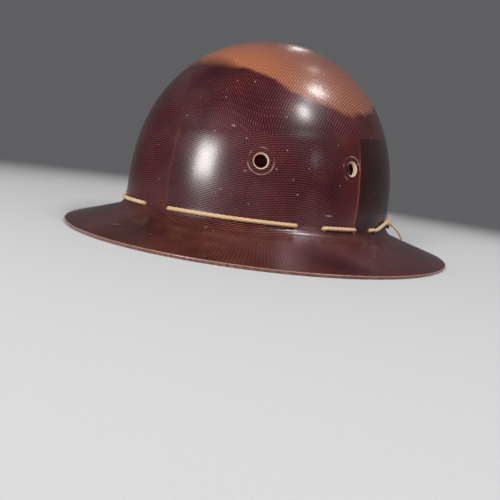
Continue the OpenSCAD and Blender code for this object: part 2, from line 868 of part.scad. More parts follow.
module buckle_base() {
    color([0.7, 0.7, 0.68])
    difference() {
        union() {
            on_back_arc(buckle_from_angle + buckle_sweep)
                rotate_extrude(angle = buckle_sweep, $fn = 180)
                    translate([base_in_r, nape_z - ear_z - buckle_t])
                        square([buckle_t, 2 * (ear_z + buckle_t)]);
            for (up = [0, 1])
                on_back_arc(pin_angle)
                    translate([0, 0, nape_z])
                        mirror([0, 0, up])
                            translate([base_in_r + buckle_t / 2, -ear_l / 2, ear_z])
                                cube([pin_r - base_in_r - buckle_t / 2 + knuckle_r, ear_l, buckle_t]);
        }
        on_back_arc(pin_angle)
            translate([pin_r, 0, nape_z])
                cylinder(h = 4 * nape_w, d = pin_d, center = true);
        for (up = [-1, 1])
            on_back_arc(buckle_rivet_angle)
                translate([base_in_r, 0, nape_z + up * buckle_rivet_z])
                    rotate([0, 90, 0])
                        cylinder(h = 4 * buckle_t, d = nape_rivet_hole_d, center = true);
    }
}

// Flush rivets that hold the base on the headband
module buckle_rivets() {
    inner = band_end_r - band_t - soft_gap;
    color([0.72, 0.6, 0.35])
    for (up = [-1, 1])
        on_back_arc(buckle_rivet_angle)
            translate([0, 0, nape_z + up * buckle_rivet_z])
                rotate([0, 90, 0]) {
                    translate([0, 0, inner - rivet_head_t])
                        cylinder(h = rivet_head_t, d = nape_rivet_head_d);
                    translate([0, 0, inner - rivet_head_t])
                        cylinder(h = base_in_r + buckle_t - inner + rivet_head_t, d = nape_rivet_d);
                }
}

module buckle_pin() {
    color([0.6, 0.6, 0.6])
    on_back_arc(pin_angle)
        translate([pin_r, 0, nape_z])
            cylinder(h = 2 * (ear_z + buckle_t + run_gap), d = pin_d, center = true);
}

module buckle_lever() {
    plate_in = -knuckle_r;
    color([0.75, 0.75, 0.72])
    on_back_arc(pin_angle)
        translate([pin_r, 0, nape_z])
            difference() {
                union() {
                    cylinder(h = nape_w, r = knuckle_r, center = true);
                    translate([plate_in, -lever_l, -nape_w / 2])
                        cube([buckle_t, lever_l, nape_w]);
                }
                cylinder(h = 2 * nape_w, d = pin_d + 2 * pin_gap, center = true);
            }
}

// Keeper loop round the strap's tail, on the side arc's own centre
keeper_angle = tangent_a - nape_tail / 2 / band_side_r * 180 / PI;
keeper_t = buckle_clear - 2 * run_gap;
module strap_keeper() {
    half = keeper_l / 2 / band_side_r * 180 / PI;
    r0 = band_side_r + run_gap;
    opening_t = nape_t + 2 * run_gap;
    opening_w = nape_w + 2 * run_gap;
    color([0.45, 0.27, 0.15])
    on_crown_axis()
        translate([-side_c, 0, 0])
            rotate([0, 0, keeper_angle - half])
                rotate_extrude(angle = 2 * half, $fn = 180)
                    translate([r0, nape_z])
                        difference() {
                            translate([0, -opening_w / 2 - keeper_t])
                                square([opening_t + 2 * keeper_t, opening_w + 2 * keeper_t]);
                            translate([keeper_t, -opening_w / 2])
                                square([opening_t, opening_w]);
                        }
}

shell();
lace();
lace_knot();
crown_strap_1();
crown_strap_2();
crown_strap_3();
crown_strap_4();
crown_pad();
headband();
sweatband();
strap_rivets();
nape_strap();
nape_rivets();
buckle_base();
buckle_rivets();
buckle_pin();
buckle_lever();
strap_keeper();
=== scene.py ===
"""Looks for a full-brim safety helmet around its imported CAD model.

Laid out as a Blender add-on with one operator for each piece or group of
pieces. Run as a script, it makes every piece in order. Lengths are in metres.
The front faces -Y and the wearer's left is +X.
"""

import math

import bpy
import numpy as np
from bpy.props import FloatProperty, FloatVectorProperty, IntProperty, PointerProperty
from mathutils import Matrix, Vector


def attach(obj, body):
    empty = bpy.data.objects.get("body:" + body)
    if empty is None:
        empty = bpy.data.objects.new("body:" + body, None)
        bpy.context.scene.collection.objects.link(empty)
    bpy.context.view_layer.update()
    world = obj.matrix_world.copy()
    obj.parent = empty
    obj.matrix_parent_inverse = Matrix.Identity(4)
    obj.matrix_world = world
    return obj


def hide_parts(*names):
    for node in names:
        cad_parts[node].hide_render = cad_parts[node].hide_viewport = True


bl_info = {
    "name": "Laminate Safety Helmet",
    "version": (1, 0, 0),
    "blender": (4, 5, 0),
    "location": "View3D > Sidebar > Helmet",
    "description": "Full-brim laminate helmet with a laced webbing cradle",
    "category": "Object",
}

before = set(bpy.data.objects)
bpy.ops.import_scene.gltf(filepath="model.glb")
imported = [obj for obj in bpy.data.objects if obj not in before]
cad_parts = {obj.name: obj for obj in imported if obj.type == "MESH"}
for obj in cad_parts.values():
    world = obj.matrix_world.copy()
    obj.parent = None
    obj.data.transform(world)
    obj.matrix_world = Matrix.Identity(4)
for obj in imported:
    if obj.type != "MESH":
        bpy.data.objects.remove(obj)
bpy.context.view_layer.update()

MM = 0.001
BODY = "helmet"


# Settings


def size(name, description, default):
    """A length property in metres."""
    return FloatProperty(name=name, description=description, default=default, unit="LENGTH", precision=5)


def share(name, description, default):
    """A plain number between 0 and 1."""
    return FloatProperty(name=name, description=description, default=default, min=0, max=1)


def tint(name, description, default):
    """A colour property."""
    return FloatVectorProperty(
        name=name, description=description, default=default, subtype="COLOR", size=3, min=0, max=1
    )


class ShellSettings(bpy.types.PropertyGroup):
    crown_rx: size("Crown half width", "Half the outside width of the crown at its base", 0.0923)
    crown_ry: size("Crown half length", "Half the outside length of the crown at its base", 0.118)
    crown_h: size("Crown height", "Height of the crown above its base plane", 0.1423)
    crown_base_z: size("Crown base", "Height of the crown's base plane", 0.0146)
    crown_fullness: FloatProperty(
        name="Fullness", description="How long the wall stays upright", default=2.54
    )
    crown_roundness: FloatProperty(name="Roundness", description="How round the top is", default=1.98)
    crown_forward: size("Crown forward", "How far the crown's base stands ahead of the brim", 0.0034)
    crown_lean: size("Crown lean", "How far the top of the crown leans back", 0.0031)
    brim_rx: size("Brim half width", "Half the width across the brim", 0.1452)
    brim_ry: size("Brim half length", "Half the length along the brim", 0.1634)
    brim_root_z: size("Brim root", "Height at which the brim meets the wall", 0.0166)
    brim_sag: size("Brim sag", "How far the brim's middle sags", 0.0002)
    fillet_len: size("Fillet", "Length of the fillet between wall and brim", 0.009)
    wall_t: size("Wall", "Thickness of the laminate", 0.0028)
    edge_bevel: size("Edge bevel", "Width of the sanded bevel on the brim's edge", 0.0006)
    edge_flat: size("Edge flat", "Depth of the flat sanded under the brim's edge", 0.00045)
    vent_d: size("Vent", "Diameter of a vent hole", 0.0091)
    vent_flare_d: size("Vent flare", "Diameter of a vent's chamfer", 0.0112)
    vent_flare_depth: size("Vent flare depth", "Depth of a vent's chamfer", 0.0009)
    ply_step: size("Ply step", "Height of the step at the edge of a cloth ply", 0.00028)
    around: IntProperty(name="Segments", description="Segments round the shell", default=320)
    dark: tint("Dark resin", "Colour of the resin-soaked cloth between threads", (0.013, 0.0005, 0.0014))
    thread: tint("Thread", "Colour of the threads under the resin", (0.175, 0.030, 0.033))
    top: tint("Top ply", "Colour of the top ply's threads near its edge", (0.50, 0.18, 0.08))
    # Colour of the top ply's threads near the apex, and also the painted sheen toward the sides of the top
    # ply
    top_inner_and_sheen: tint("Top ply's middle", "Colour of the top ply's threads near the apex", (0.31, 0.125, 0.090))
    edge: tint("Cut edge", "Colour of the cut and sanded laminate", (0.58, 0.43, 0.29))
    rim: tint("Brim's edge", "Colour of the rubbed bevel on the brim's edge", (0.30, 0.16, 0.125))


class LaceSettings(bpy.types.PropertyGroup):
    lace_d: size("Lace", "Diameter of the braided lace", 0.0032)
    lace_hole_d: size("Lace hole", "Diameter of a lace hole", 0.0042)
    lace_gap: size("Lace gap", "Gap between the lace and the wall", 0.00035)
    lace_bend: size("Lace bend", "Radius of the lace's bend into a hole", 0.0023)
    lace_place: share("Place", "Place of the lace holes on the fillet", 0.21)
    knot_r: size("Knot radius", "Radius of the knot", 0.0027)
    knot_l: size("Knot length", "Length of the knot", 0.007)
    tail_d: size("Tail", "Diameter of the knot's tails", 0.0018)
    braid_pitch: size("Braid pitch", "Length of one turn of a strand", 0.0062)
    strands: IntProperty(name="Strands", description="Strands in the braid", default=8)
    light: tint("Light yarn", "Colour of the lace's yarn", (0.56, 0.37, 0.20))
    worn: tint("Worn yarn", "Colour of the yarn where it is soiled", (0.34, 0.18, 0.08))


class CradleSettings(bpy.types.PropertyGroup):
    strap_w: size("Webbing width", "Width of the cradle's webbing", 0.016)
    strap_t: size("Webbing thickness", "Thickness of the cradle's webbing", 0.0012)
    cradle_z: size("Cradle height", "Height of the lowest strap where the straps cross", 0.110)
    fullness: FloatProperty(name="Dome fullness", description="How full the straps' dome is", default=2.3)
    loop_r: size("Loop radius", "Inside radius of a strap's loop round the lace", 0.00215)
    loop_room: size("Loop room", "Room between a strap's loop and the shell", 0.0013)
    fold_up: size("Fold", "Height of a strap's sewn end above its rivet", 0.005)
    soft_gap: size("Gap", "Clearance between pieces that lie on each other", 0.0003)
    pad_d: size("Pad", "Diameter of the crown pad", 0.064)
    pad_t: size("Pad thickness", "Thickness of the crown pad", 0.003)
    webbing: tint("Webbing", "Colour of the cotton webbing", (0.66, 0.60, 0.46))
    thread: tint("Thread", "Colour of the sewing thread", (0.78, 0.72, 0.60))
    pad: tint("Pad leather", "Colour of the crown pad's leather", (0.26, 0.125, 0.06))


class HeadbandSettings(bpy.types.PropertyGroup):
    half_w: size("Half width", "Half the outside width of the headband", 0.080)
    half_l: size("Half length", "Half the outside length of the headband", 0.1025)
    end_r: size("End radius", "Radius of the headband's front and back arcs", 0.06409)
    band_t: size("Thickness", "Thickness of the headband", 0.0012)
    band_z: size("Lower edge", "Height of the headband's lower edge", 0.006)
    band_h: size("Height", "Height of the headband from edge to edge", 0.030)
    gap_angle: FloatProperty(name="Opening", description="Half the angle of the nape's opening", default=8)
    leather_t: size("Lining", "Thickness of the leather sweatband", 0.0016)
    rivet_up: size("Rivets", "Height of the strap rivets above the lower edge", 0.025)
    head_d: size("Rivet head", "Diameter of a rivet's head", 0.006)
    head_t: size("Rivet head thickness", "Thickness of a rivet's head", 0.0007)
    nape_w: size("Nape strap", "Width of the nape strap", 0.014)
    nape_t: size("Nape strap thickness", "Thickness of the nape strap", 0.0012)
    nape_up: size("Nape strap height", "Height of the nape strap's middle above the lower edge", 0.0095)
    root_angle: FloatProperty(name="Root", description="Angle of the nape strap's riveted end", default=38)
    buckle_from: FloatProperty(name="Buckle", description="Angle of the buckle's near edge", default=29.5)
    tail: size("Tail", "Length of the nape strap's tail past the back arc", 0.024)
    buckle_t: size("Buckle sheet", "Thickness of the buckle's sheet metal", 0.0008)
    run_gap: size("Running gap", "Clearance beside a moving piece", 0.0003)
    fibre: tint("Fibre", "Colour of the headband's fibre", (0.045, 0.030, 0.024))
    leather: tint("Lining leather", "Colour of the sweatband's leather", (0.36, 0.19, 0.095))
    strap: tint("Strap leather", "Colour of the nape strap's leather", (0.20, 0.095, 0.045))
    brass: tint("Brass", "Colour of the rivets", (0.66, 0.50, 0.24))
    steel: tint("Steel", "Colour of the buckle", (0.62, 0.62, 0.60))


# Shell outline, as the part's source has it. A station is the share of the
# crown's outline, the reach along the brim and the height.


def shell():
    return bpy.context.scene.helmet_shell


def lace():
    return bpy.context.scene.helmet_lace


def brim_reach():
    s = shell()
    return (s.brim_rx - s.crown_rx + s.brim_ry - s.crown_ry) / 2


def brim_edge_z():
    s = shell()
    slope = math.atan((s.brim_root_z - 4 * s.brim_sag) / brim_reach())
    return s.wall_t * math.cos(slope) - s.edge_bevel * math.tan(slope) - s.edge_flat


def crown_share(z):
    s = shell()
    rise = max(0.0, z - s.crown_base_z) / s.crown_h
    return max(0.0, 1 - rise**s.crown_fullness) ** (1 / s.crown_roundness)


def brim_station(reach):
    s = shell()
    edge = brim_edge_z()
    z = edge + (s.brim_root_z - edge) * (1 - reach) - 4 * s.brim_sag * reach * (1 - reach)
    return np.array([1.0, reach, z])


def crown_station(z):
    return np.array([crown_share(z), 0.0, z])


def fillet_station(t):
    s = shell()
    top = s.brim_root_z + s.fillet_len
    a, b = crown_station(top), np.array([1.0, 0.0, s.brim_root_z])
    c = brim_station(s.fillet_len / brim_reach())
    return a * (1 - t) ** 2 + 2 * b * t * (1 - t) + c * t * t


def ring_of(station):
    """Half width, half length, centre along Y and height of a station's ellipse."""
    s = shell()
    portion, reach, z = station
    return (
        s.crown_rx * portion + (s.brim_rx - s.crown_rx) * reach,
        s.crown_ry * portion + (s.brim_ry - s.crown_ry) * reach,
        -s.crown_forward * (1 - reach) + s.crown_lean * (1 - portion),
        z,
    )


def station_point(station, a):
    """Point of a station at an angle in degrees."""
    rx, ry, y, z = ring_of(station)
    a = math.radians(a)
    return np.array([math.cos(a) * rx, math.sin(a) * ry + y, z])


def unit(v):
    return np.asarray(v) / np.linalg.norm(v)


def station_normal(upper, lower, a):
    across = station_point(lower, a + 0.5) - station_point(lower, a - 0.5)
    return unit(np.cross(across, station_point(upper, a) - station_point(lower, a)))


def fillet_point(t, a):
    return station_point(fillet_station(t), a)


def fillet_normal(t, a):
    return station_normal(fillet_station(t - 0.02), fillet_station(t + 0.02), a)


def fillet_along(t, a):
    return unit(fillet_point(t, a + 0.5) - fillet_point(t, a - 0.5))


def crown_normal(z, a):
    return station_normal(crown_station(z + 0.5 * MM), crown_station(z - 0.5 * MM), a)


def shell_stations(brim_rings=24, fillet_rings=14, crown_rings=84):
    """Stations of the outer face from the brim's edge to just short of the apex."""
    s = shell()
    foot = s.fillet_len / brim_reach()
    brim = [brim_station(1 - (1 - foot) * i / brim_rings) for i in range(brim_rings)]
    fillet = [fillet_station(1 - i / fillet_rings) for i in range(fillet_rings + 1)]
    a0 = math.asin((s.brim_root_z + s.fillet_len - s.crown_base_z) / s.crown_h)
    steps = [i / crown_rings for i in range(1, crown_rings)] + [1 - 0.35 / crown_rings]
    crown = [
        crown_station(s.crown_base_z + s.crown_h * math.sin(a0 + (math.pi / 2 - a0) * t)) for t in steps
    ]
    return brim + fillet + crown


# Modelling helpers


def clear_selection():
    if bpy.context.mode != "OBJECT":
        bpy.ops.object.mode_set(mode="OBJECT")
    bpy.ops.object.select_all(action="DESELECT")


def only(piece):
    clear_selection()
    piece.hide_viewport = False
    piece.select_set(True)
    bpy.context.view_layer.objects.active = piece
    return piece


def apply_modifier(piece, kind, **values):
    only(piece)
    bpy.ops.object.modifier_add(type=kind)
    modifier = piece.modifiers[-1]
    for name, value in values.items():
        setattr(modifier, name, value)
    bpy.ops.object.modifier_apply(modifier=modifier.name)


def new_piece(name, data):
    """A new object of that name and data, selected alone."""
    piece = bpy.data.objects.new(name, data)
    bpy.context.scene.collection.objects.link(piece)
    return only(piece)


def read_triples(items, field):
    values = np.zeros(len(items) * 3)
    items.foreach_get(field, values)
    return values.reshape(-1, 3)


def verts_of(piece):
    return read_triples(piece.data.vertices, "co")


def set_verts(piece, co):
    piece.data.vertices.foreach_set("co", np.asarray(co, float).ravel())
    piece.data.update()


def normals_of(piece):
    return read_triples(piece.data.vertices, "normal")


def write_attribute(piece, name, values, domain="POINT"):
    layer = piece.data.attributes.new(name, "FLOAT", domain)
    layer.data.foreach_set("value", np.asarray(values, float).ravel())


def faces_of(piece):
    """Centres and normals of a piece's faces."""
    return [read_triples(piece.data.polygons, field) for field in ("center", "normal")]


def finish_piece(piece, name, material, node=None, body=BODY, angle=40):
    """Names a piece, gives it its finish and its body, and smooths its faces."""
    only(piece)
    piece.name = name
    piece.data.name = name
    piece.data.materials.clear()
    piece.data.materials.append(material)
    bpy.ops.object.shade_smooth_by_angle(angle=math.radians(angle))
    if node:
        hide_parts(*([node] if isinstance(node, str) else node))
    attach(piece, body)
    clear_selection()
    return piece


def run_along(line):
    """How far along a line each of its points lies."""
    return np.concatenate([[0], np.cumsum(np.linalg.norm(np.diff(line, axis=0), axis=1))])


def resample(line, run, at):
    """Points of a line at some lengths along it."""
    return np.stack([np.interp(at, run, column) for column in line.T], 1)


def heading(a):
    """Level direction at an angle in radians."""
    return np.array([math.cos(a), math.sin(a), 0])


def toned(colour, by):
    """A colour with each of its parts multiplied."""
    return tuple(by * part for part in colour)


def smooth_step(x, low, high):
    t = np.clip((x - low) / (high - low), 0, 1)
    return t * t * (3 - 2 * t)


# Material helpers


class Nodes:
    """Short calls for building one material's node tree."""

    def __init__(self, name):
        self.material = bpy.data.materials.new(name)
        self.material.use_nodes = True
        self.tree = self.material.node_tree
        self.tree.nodes.clear()
        self.shader = self.add("ShaderNodeBsdfPrincipled")
        self.output = self.add("ShaderNodeOutputMaterial")
        self.tree.links.new(self.shader.outputs[0], self.output.inputs["Surface"])
        self.place = self.add("ShaderNodeTexCoord").outputs["Object"]

    def add(self, kind, **values):
        node = self.tree.nodes.new(kind)
        for name, value in values.items():
            setattr(node, name, value)
        return node

    def put(self, socket, value):
        if isinstance(value, bpy.types.NodeSocket):
            self.tree.links.new(value, socket)
        elif hasattr(value, "__len__") and len(value) == 3 and len(socket.default_value) == 4:
            socket.default_value = (*value, 1)
        else:
            socket.default_value = value

    def sets(self, **values):
        for name, value in values.items():
            self.put(self.shader.inputs[name.replace("_", " ")], value)

    def math(self, what, a, b=0.0, c=0.0):
        node = self.add("ShaderNodeMath", operation=what)
        for socket, value in zip(node.inputs, (a, b, c)):
            self.put(socket, value)
        return node.outputs[0]

    def times(self, a, b):
        return self.math("MULTIPLY", a, b)

    def plus(self, a, b):
        return self.math("ADD", a, b)

    def madd(self, a, b, c):
        """a times b, plus c."""
        return self.math("MULTIPLY_ADD", a, b, c)

    def most(self, a, b):
        return self.math("MAXIMUM", a, b)

    def flip(self, a):
        """1 less a."""
        return self.math("SUBTRACT", 1.0, a)

    def sine(self, a):
        return self.math("SINE", a)

    def vector(self, what, a, b=(0, 0, 0)):
        node = self.add("ShaderNodeVectorMath", operation=what)
        self.put(node.inputs[0], a)
        if what == "SCALE":
            self.put(node.inputs["Scale"], b)
        else:
            self.put(node.inputs[1], b)
        return node.outputs["Value"] if what in ("DOT_PRODUCT", "LENGTH", "DISTANCE") else node.outputs[0]

    def split(self, a):
        node = self.add("ShaderNodeSeparateXYZ")
        self.put(node.inputs[0], a)
        return node.outputs

    def join(self, x, y, z=0.0):
        node = self.add("ShaderNodeCombineXYZ")
        for socket, value in zip(node.inputs, (x, y, z)):
            self.put(socket, value)
        return node.outputs[0]

    def step(self, x, low, high):
        """Smooth step of x from 0 at low to 1 at high, which may be the lower of the two."""
        node = self.add("ShaderNodeMapRange", interpolation_type="SMOOTHSTEP")
        for name, value in (("Value", x), ("From Min", low), ("From Max", high)):
            self.put(node.inputs[name], value)
        return node.outputs[0]

    def mix(self, factor, a, b):
        node = self.add("ShaderNodeMix", data_type="RGBA")
        self.put(node.inputs[0], factor)
        self.put(node.inputs[6], a)
        self.put(node.inputs[7], b)
        return node.outputs[2]

    def noise(self, scale, detail=3.0, rough=0.5, at=None, out=0):
        node = self.add("ShaderNodeTexNoise")
        self.put(node.inputs["Vector"], self.place if at is None else at)
        for name, value in (("Scale", scale), ("Detail", detail), ("Roughness", rough)):
            self.put(node.inputs[name], value)
        return node.outputs[out]

    def cells(self, at, scale, feature="F1"):
        node = self.add("ShaderNodeTexVoronoi", feature=feature)
        self.put(node.inputs["Vector"], at)
        self.put(node.inputs["Scale"], scale)
        return node

    def attribute(self, name):
        return self.add("ShaderNodeAttribute", attribute_name=name).outputs["Fac"]

    def bump(self, height, distance):
        node = self.add("ShaderNodeBump")
        for name, value in (("Height", height), ("Distance", distance), ("Strength", 1.0)):
            self.put(node.inputs[name], value)
        self.tree.links.new(node.outputs[0], self.shader.inputs["Normal"])


def metal(name, colour, rough):
    """Brushed metal, with its grain along Z."""
    n = Nodes(name)
    soft = n.noise(140, 4)
    fine = n.noise(900, 2, at=n.vector("MULTIPLY", n.place, (1, 1, 6)))
    n.sets(Base_Color=n.mix(soft, toned(colour, 0.8), colour), Metallic=1.0)
    n.sets(Roughness=n.madd(fine, 0.25, rough))
    n.bump(fine, 0.00003)
    return n.material


# Shell laminate

DEGREES = 57.29578
ROW_TURN = 13.0
COLUMN_TURN = 24.0
BASE_TURN = -15.5
DOME_REACH = 0.098
CROWN_PITCH = 0.00155
BRIM_PITCH = 0.0015

# The disc of the top ply, the seam under it and the seams before and behind a side panel
DISC_R = 0.0768
DISC_STEP = (0.0745, 0.0795)
DISC_FORWARD = 0.003
SEAM_Z = 0.0865
SEAM_SLOPE = 0.105
FRONT_SEAM = -72.0
REAR_SEAM = 10.0

# The moulded dimple at each side of the front fillet
DIMPLE_X = 0.0263
DIMPLE_Y = -0.1263
DIMPLE_W = 0.0055
DIMPLE_L = 0.0035
DIMPLE_DEPTH = 0.0007

# Angle and height of each vent
VENTS = ((-33.6, 0.0614), (3.0, 0.065), (213.6, 0.0614), (177.0, 0.065))


def weave(n, u, v, pitch, wander, row_weight, column_weight):
    """How light a plain weave of that pitch is at u, v in metres, and its height."""
    turns = math.pi / pitch
    row = n.sine(n.madd(v, 2 * turns, wander))
    column = n.sine(n.madd(u, 2 * turns, wander))
    over = n.times(n.sine(n.times(u, turns)), n.sine(n.times(v, turns)))
    light = n.madd(row, row_weight, n.times(column, column_weight))
    return n.madd(over, 0.12, n.plus(light, 0.5))


def turned(n, vector, degrees):
    node = n.add("ShaderNodeVectorRotate", rotation_type="Z_AXIS")
    n.put(node.inputs["Vector"], vector)
    n.put(node.inputs["Angle"], math.radians(-degrees))
    return n.split(node.outputs[0])


def laid_over(n, place, reach):
    """Length along the dome of a place in plan, for a dome of that reach."""
    return n.times(n.math("ARCSINE", n.times(place, 1 / reach)), reach)


def near(n, value, middle, width):
    """1 where a value is at the middle, falling to 0 at that width from it."""
    away = n.math("ABSOLUTE", n.math("SUBTRACT", value, middle))
    return n.flip(n.step(away, width * 0.35, width))


def laminate_plies(n):
    """Masks of the plies that show, the light of their threads, and the lines at their edges."""
    s = shell()
    x, y, z = n.split(n.place)
    fall, on_brim = n.attribute("fall"), n.attribute("brim")
    forward = n.plus(y, s.crown_forward)
    polar = n.times(n.math("ARCTAN2", forward, n.math("ABSOLUTE", x)), DEGREES)
    radius = n.vector("LENGTH", n.join(x, forward))
    outer = n.attribute("outer")
    wobble = n.math("SUBTRACT", n.noise(60, 3), 0.5)
    wander = n.times(wobble, 2.5)

    # Cloth over the apex and the front: one set of threads shows at the front, the other at the sides
    u = laid_over(n, turned(n, n.join(x, forward), COLUMN_TURN)[0], DOME_REACH)
    to_ends = n.step(n.math("ABSOLUTE", polar), 40.0, 80.0)
    steep = n.math("SUBTRACT", n.math("DIVIDE", fall, n.most(radius, 0.001)), 1.0)
    stretch = n.madd(steep, to_ends, 1.0)
    v = turned(n, n.vector("SCALE", n.join(x, forward), stretch), ROW_TURN)[1]
    to_side = n.step(polar, -66.0, -28.0)
    weights = n.madd(to_side, -0.32, 0.46), n.madd(to_side, 0.26, 0.12)
    top_light = weave(n, u, v, CROWN_PITCH, wander, *weights)
    # Side panels: rows that sag away from their middle
    along = n.times(n.plus(polar, 22.0), 0.00166)
    sagged = n.math("SUBTRACT", fall, n.times(n.times(along, along), 4.2))
    side_light = weave(n, along, sagged, CROWN_PITCH, wander, 0.44, 0.13)
    # Brim: cloth in plan
    u, v, _ = turned(n, n.join(x, forward), BASE_TURN)
    brim_light = weave(n, u, v, BRIM_PITCH, wander, 0.13, 0.42)

    seam = n.plus(n.madd(y, SEAM_SLOPE, SEAM_Z), n.times(wobble, 0.002))
    below = n.times(n.step(n.math("SUBTRACT", seam, z), -0.0006, 0.0006), outer)
    drift = n.madd(wobble, 2.5, polar)
    behind = n.step(drift, REAR_SEAM - 0.3, REAR_SEAM + 0.3)
    past_front = n.step(drift, FRONT_SEAM - 0.3, FRONT_SEAM + 0.3)
    on_side = n.times(n.times(below, past_front), n.flip(behind))
    on_rear = n.times(n.times(below, behind), n.flip(on_brim))
    disc = n.vector("LENGTH", n.join(x, n.plus(y, DISC_FORWARD)))
    disc = n.madd(wobble, 0.006, disc)
    soft = n.madd(n.step(polar, -80.0, -52.0), -0.0062, 0.0075)
    edge = n.math("SUBTRACT", DISC_R, soft), n.plus(DISC_R, soft)
    on_top = n.times(n.flip(n.step(disc, *edge)), n.step(z, 0.09, 0.1))
    on_top = n.times(on_top, outer)
    off_brim = n.times(below, n.flip(on_brim))
    rear_line = n.times(near(n, drift, REAR_SEAM - 0.4, 0.8), n.times(off_brim, n.step(z, 0.082, 0.070)))
    front_line = n.times(near(n, drift, FRONT_SEAM, 0.9), off_brim)
    light = n.mix(on_side, n.mix(on_brim, top_light, brim_light), side_light)

    # Lighter threads along a ridge of the brim and at a patch by the dimple, where the resin is thinned by
    # rubbing, and round the front fillet, where the sheen of reflected light is painted
    out = n.vector("LENGTH", n.join(n.times(x, 1 / s.brim_rx), n.times(y, 1 / s.brim_ry)))
    window = n.times(n.step(polar, -68.0, -60.0), n.step(polar, -30.0, -44.0))
    ridge = n.times(near(n, n.madd(wobble, 0.05, out), 0.865, 0.03), window)
    # Front fillet and the brim before it: painted sheen of reflected light
    foot = near(n, on_brim, 0.75, 0.7)
    foot = n.times(foot, n.step(polar, -15.0, -50.0))
    by_dimple = n.vector("DISTANCE", n.join(n.math("ABSOLUTE", x), y), (0.0345, -0.1247, 0.0))
    patch = near(n, by_dimple, 0.0, 0.016)
    uneven = n.madd(n.step(n.noise(90, 3), 0.35, 0.7), 0.7, 0.3)
    rubbed = n.most(n.most(ridge, n.times(foot, 0.7)), patch)
    rubbed = n.times(rubbed, uneven)
    return {
        "light": light,
        "top": on_top,
        "side": on_side,
        "rear": on_rear,
        "disc": disc,
        "polar": polar,
        "rubbed": rubbed,
        "rear_line": rear_line,
        "front_line": front_line,
    }


def laminate_wear(n):
    """Specks, short scratches and the rings rubbed round the vents."""
    spots = n.cells(n.place, 150.0)
    chance = n.split(spots.outputs["Color"])[0]
    speck = n.flip(n.step(spots.outputs["Distance"], 0.02, 0.11))
    wear = n.times(speck, n.step(chance, 0.50, 0.98))
    for turn, seed in ((35, 0.0), (-50, 0.013), (80, 0.029)):
        u, v, w = turned(n, n.vector("ADD", n.place, (seed, seed, seed)), turn)
        line = n.cells(n.join(n.times(u, 0.12), v, n.times(w, 0.7)), 130.0)
        cut = n.flip(n.step(line.outputs["Distance"], 0.02, 0.085))
        cut = n.times(cut, n.step(n.split(line.outputs["Color"])[1], 0.60, 0.75))
        wear = n.most(wear, n.times(cut, 0.5))
    broken = n.times(n.step(n.noise(130, 2), 0.42, 0.62), n.attribute("outer"))
    for middle, _ in vent_axes():
        away = n.vector("DISTANCE", n.place, tuple(middle))
        ring = n.times(near(n, away, 0.0088, 0.0006), broken)
        wear = n.most(wear, n.times(ring, 0.55))
    return wear


def laminate_material():
    """Resin-soaked cloth: dark maroon with lighter threads, an orange top ply and cut, sanded edges, with
    painted sheen, reflection and shadow in places.
    """
    s = shell()
    n = Nodes("shell_laminate")
    ply = laminate_plies(n)
    rim, raw = n.attribute("rim"), n.attribute("raw")
    clarity = n.madd(n.step(n.noise(28, 3), 0.32, 0.68), 0.6, 0.45)
    clarity = n.times(clarity, n.madd(ply["rear"], -0.6, 1.0))
    sharp = n.math("POWER", n.most(ply["light"], 0.0), 2.0)
    clarity = n.times(clarity, n.madd(n.step(ply["polar"], -52.0, -74.0), -0.4, 1.0))
    fibre = n.times(sharp, clarity)
    dark = n.mix(n.noise(17, 4), toned(s.dark, 0.6), toned(s.dark, 1.5))
    thread = n.mix(n.noise(24, 3), toned(s.thread, 0.7), toned(s.thread, 1.3))
    body = n.mix(fibre, dark, thread)
    top = n.mix(n.step(ply["disc"], 0.035, 0.075), tuple(s.top_inner_and_sheen), tuple(s.top))
    # Toward the sides the top ply turns pinker: painted sheen
    top = n.mix(n.times(n.step(ply["polar"], -55.0, -15.0), 0.6), top, tuple(s.top_inner_and_sheen))
    top_body = n.mix(sharp, n.mix(0.75, top, (0.06, 0.009, 0.006)), top)
    colour = n.mix(ply["top"], body, top_body)
    glow = n.times(near(n, ply["polar"], 6.0, 12.0), ply["side"])
    colour = n.mix(n.times(glow, 0.35), colour, (0.085, 0.008, 0.003))
    colour = n.mix(n.times(ply["rear_line"], 0.7), colour, (0.30, 0.05, 0.015))
    colour = n.mix(n.times(ply["front_line"], 0.18), colour, (0.16, 0.04, 0.03))
    colour = n.mix(n.times(ply["rear"], 0.5), colour, (0.020, 0.0026, 0.0020))
    # Pale grey smudges, weaker on the top ply: painted reflection of the surroundings
    painted_reflection = n.times(n.step(n.noise(13, 4, 0.6), 0.50, 0.78), n.madd(ply["top"], -0.7, 1.0))
    colour = n.mix(n.times(painted_reflection, 0.30), colour, (0.105, 0.070, 0.074))
    # Colour of the lighter threads: rubbed resin at the ridge and patch, painted sheen round the front fillet
    rubbed_and_sheen_colour = n.mix(fibre, (0.035, 0.009, 0.005), (0.26, 0.10, 0.05))
    colour = n.mix(n.times(ply["rubbed"], 0.75), colour, rubbed_and_sheen_colour)
    raw_colour = n.mix(n.noise(900, 2), toned(s.edge, 0.7), tuple(s.edge))
    colour = n.mix(raw, colour, raw_colour)
    colour = n.mix(rim, colour, n.mix(n.noise(420, 3), toned(s.rim, 0.55), toned(s.rim, 1.3)))
    wear = laminate_wear(n)
    colour = n.mix(n.times(wear, 0.7), colour, (0.50, 0.36, 0.34))

    smudge = n.noise(45, 5, 0.6)
    roughness = n.madd(smudge, 0.18, 0.24)
    roughness = n.madd(n.most(raw, rim), 0.4, roughness)
    n.sets(Base_Color=colour, Roughness=roughness)
    n.sets(Specular_IOR_Level=0.15, IOR=1.5, Coat_Weight=0.65, Coat_Roughness=0.22)
    height = n.times(ply["light"], n.madd(ply["rear"], -0.7, 1.0))
    height = n.madd(smudge, 0.8, height)
    height = n.madd(wear, -1.5, height)
    n.bump(height, 0.00006)
    return n.material


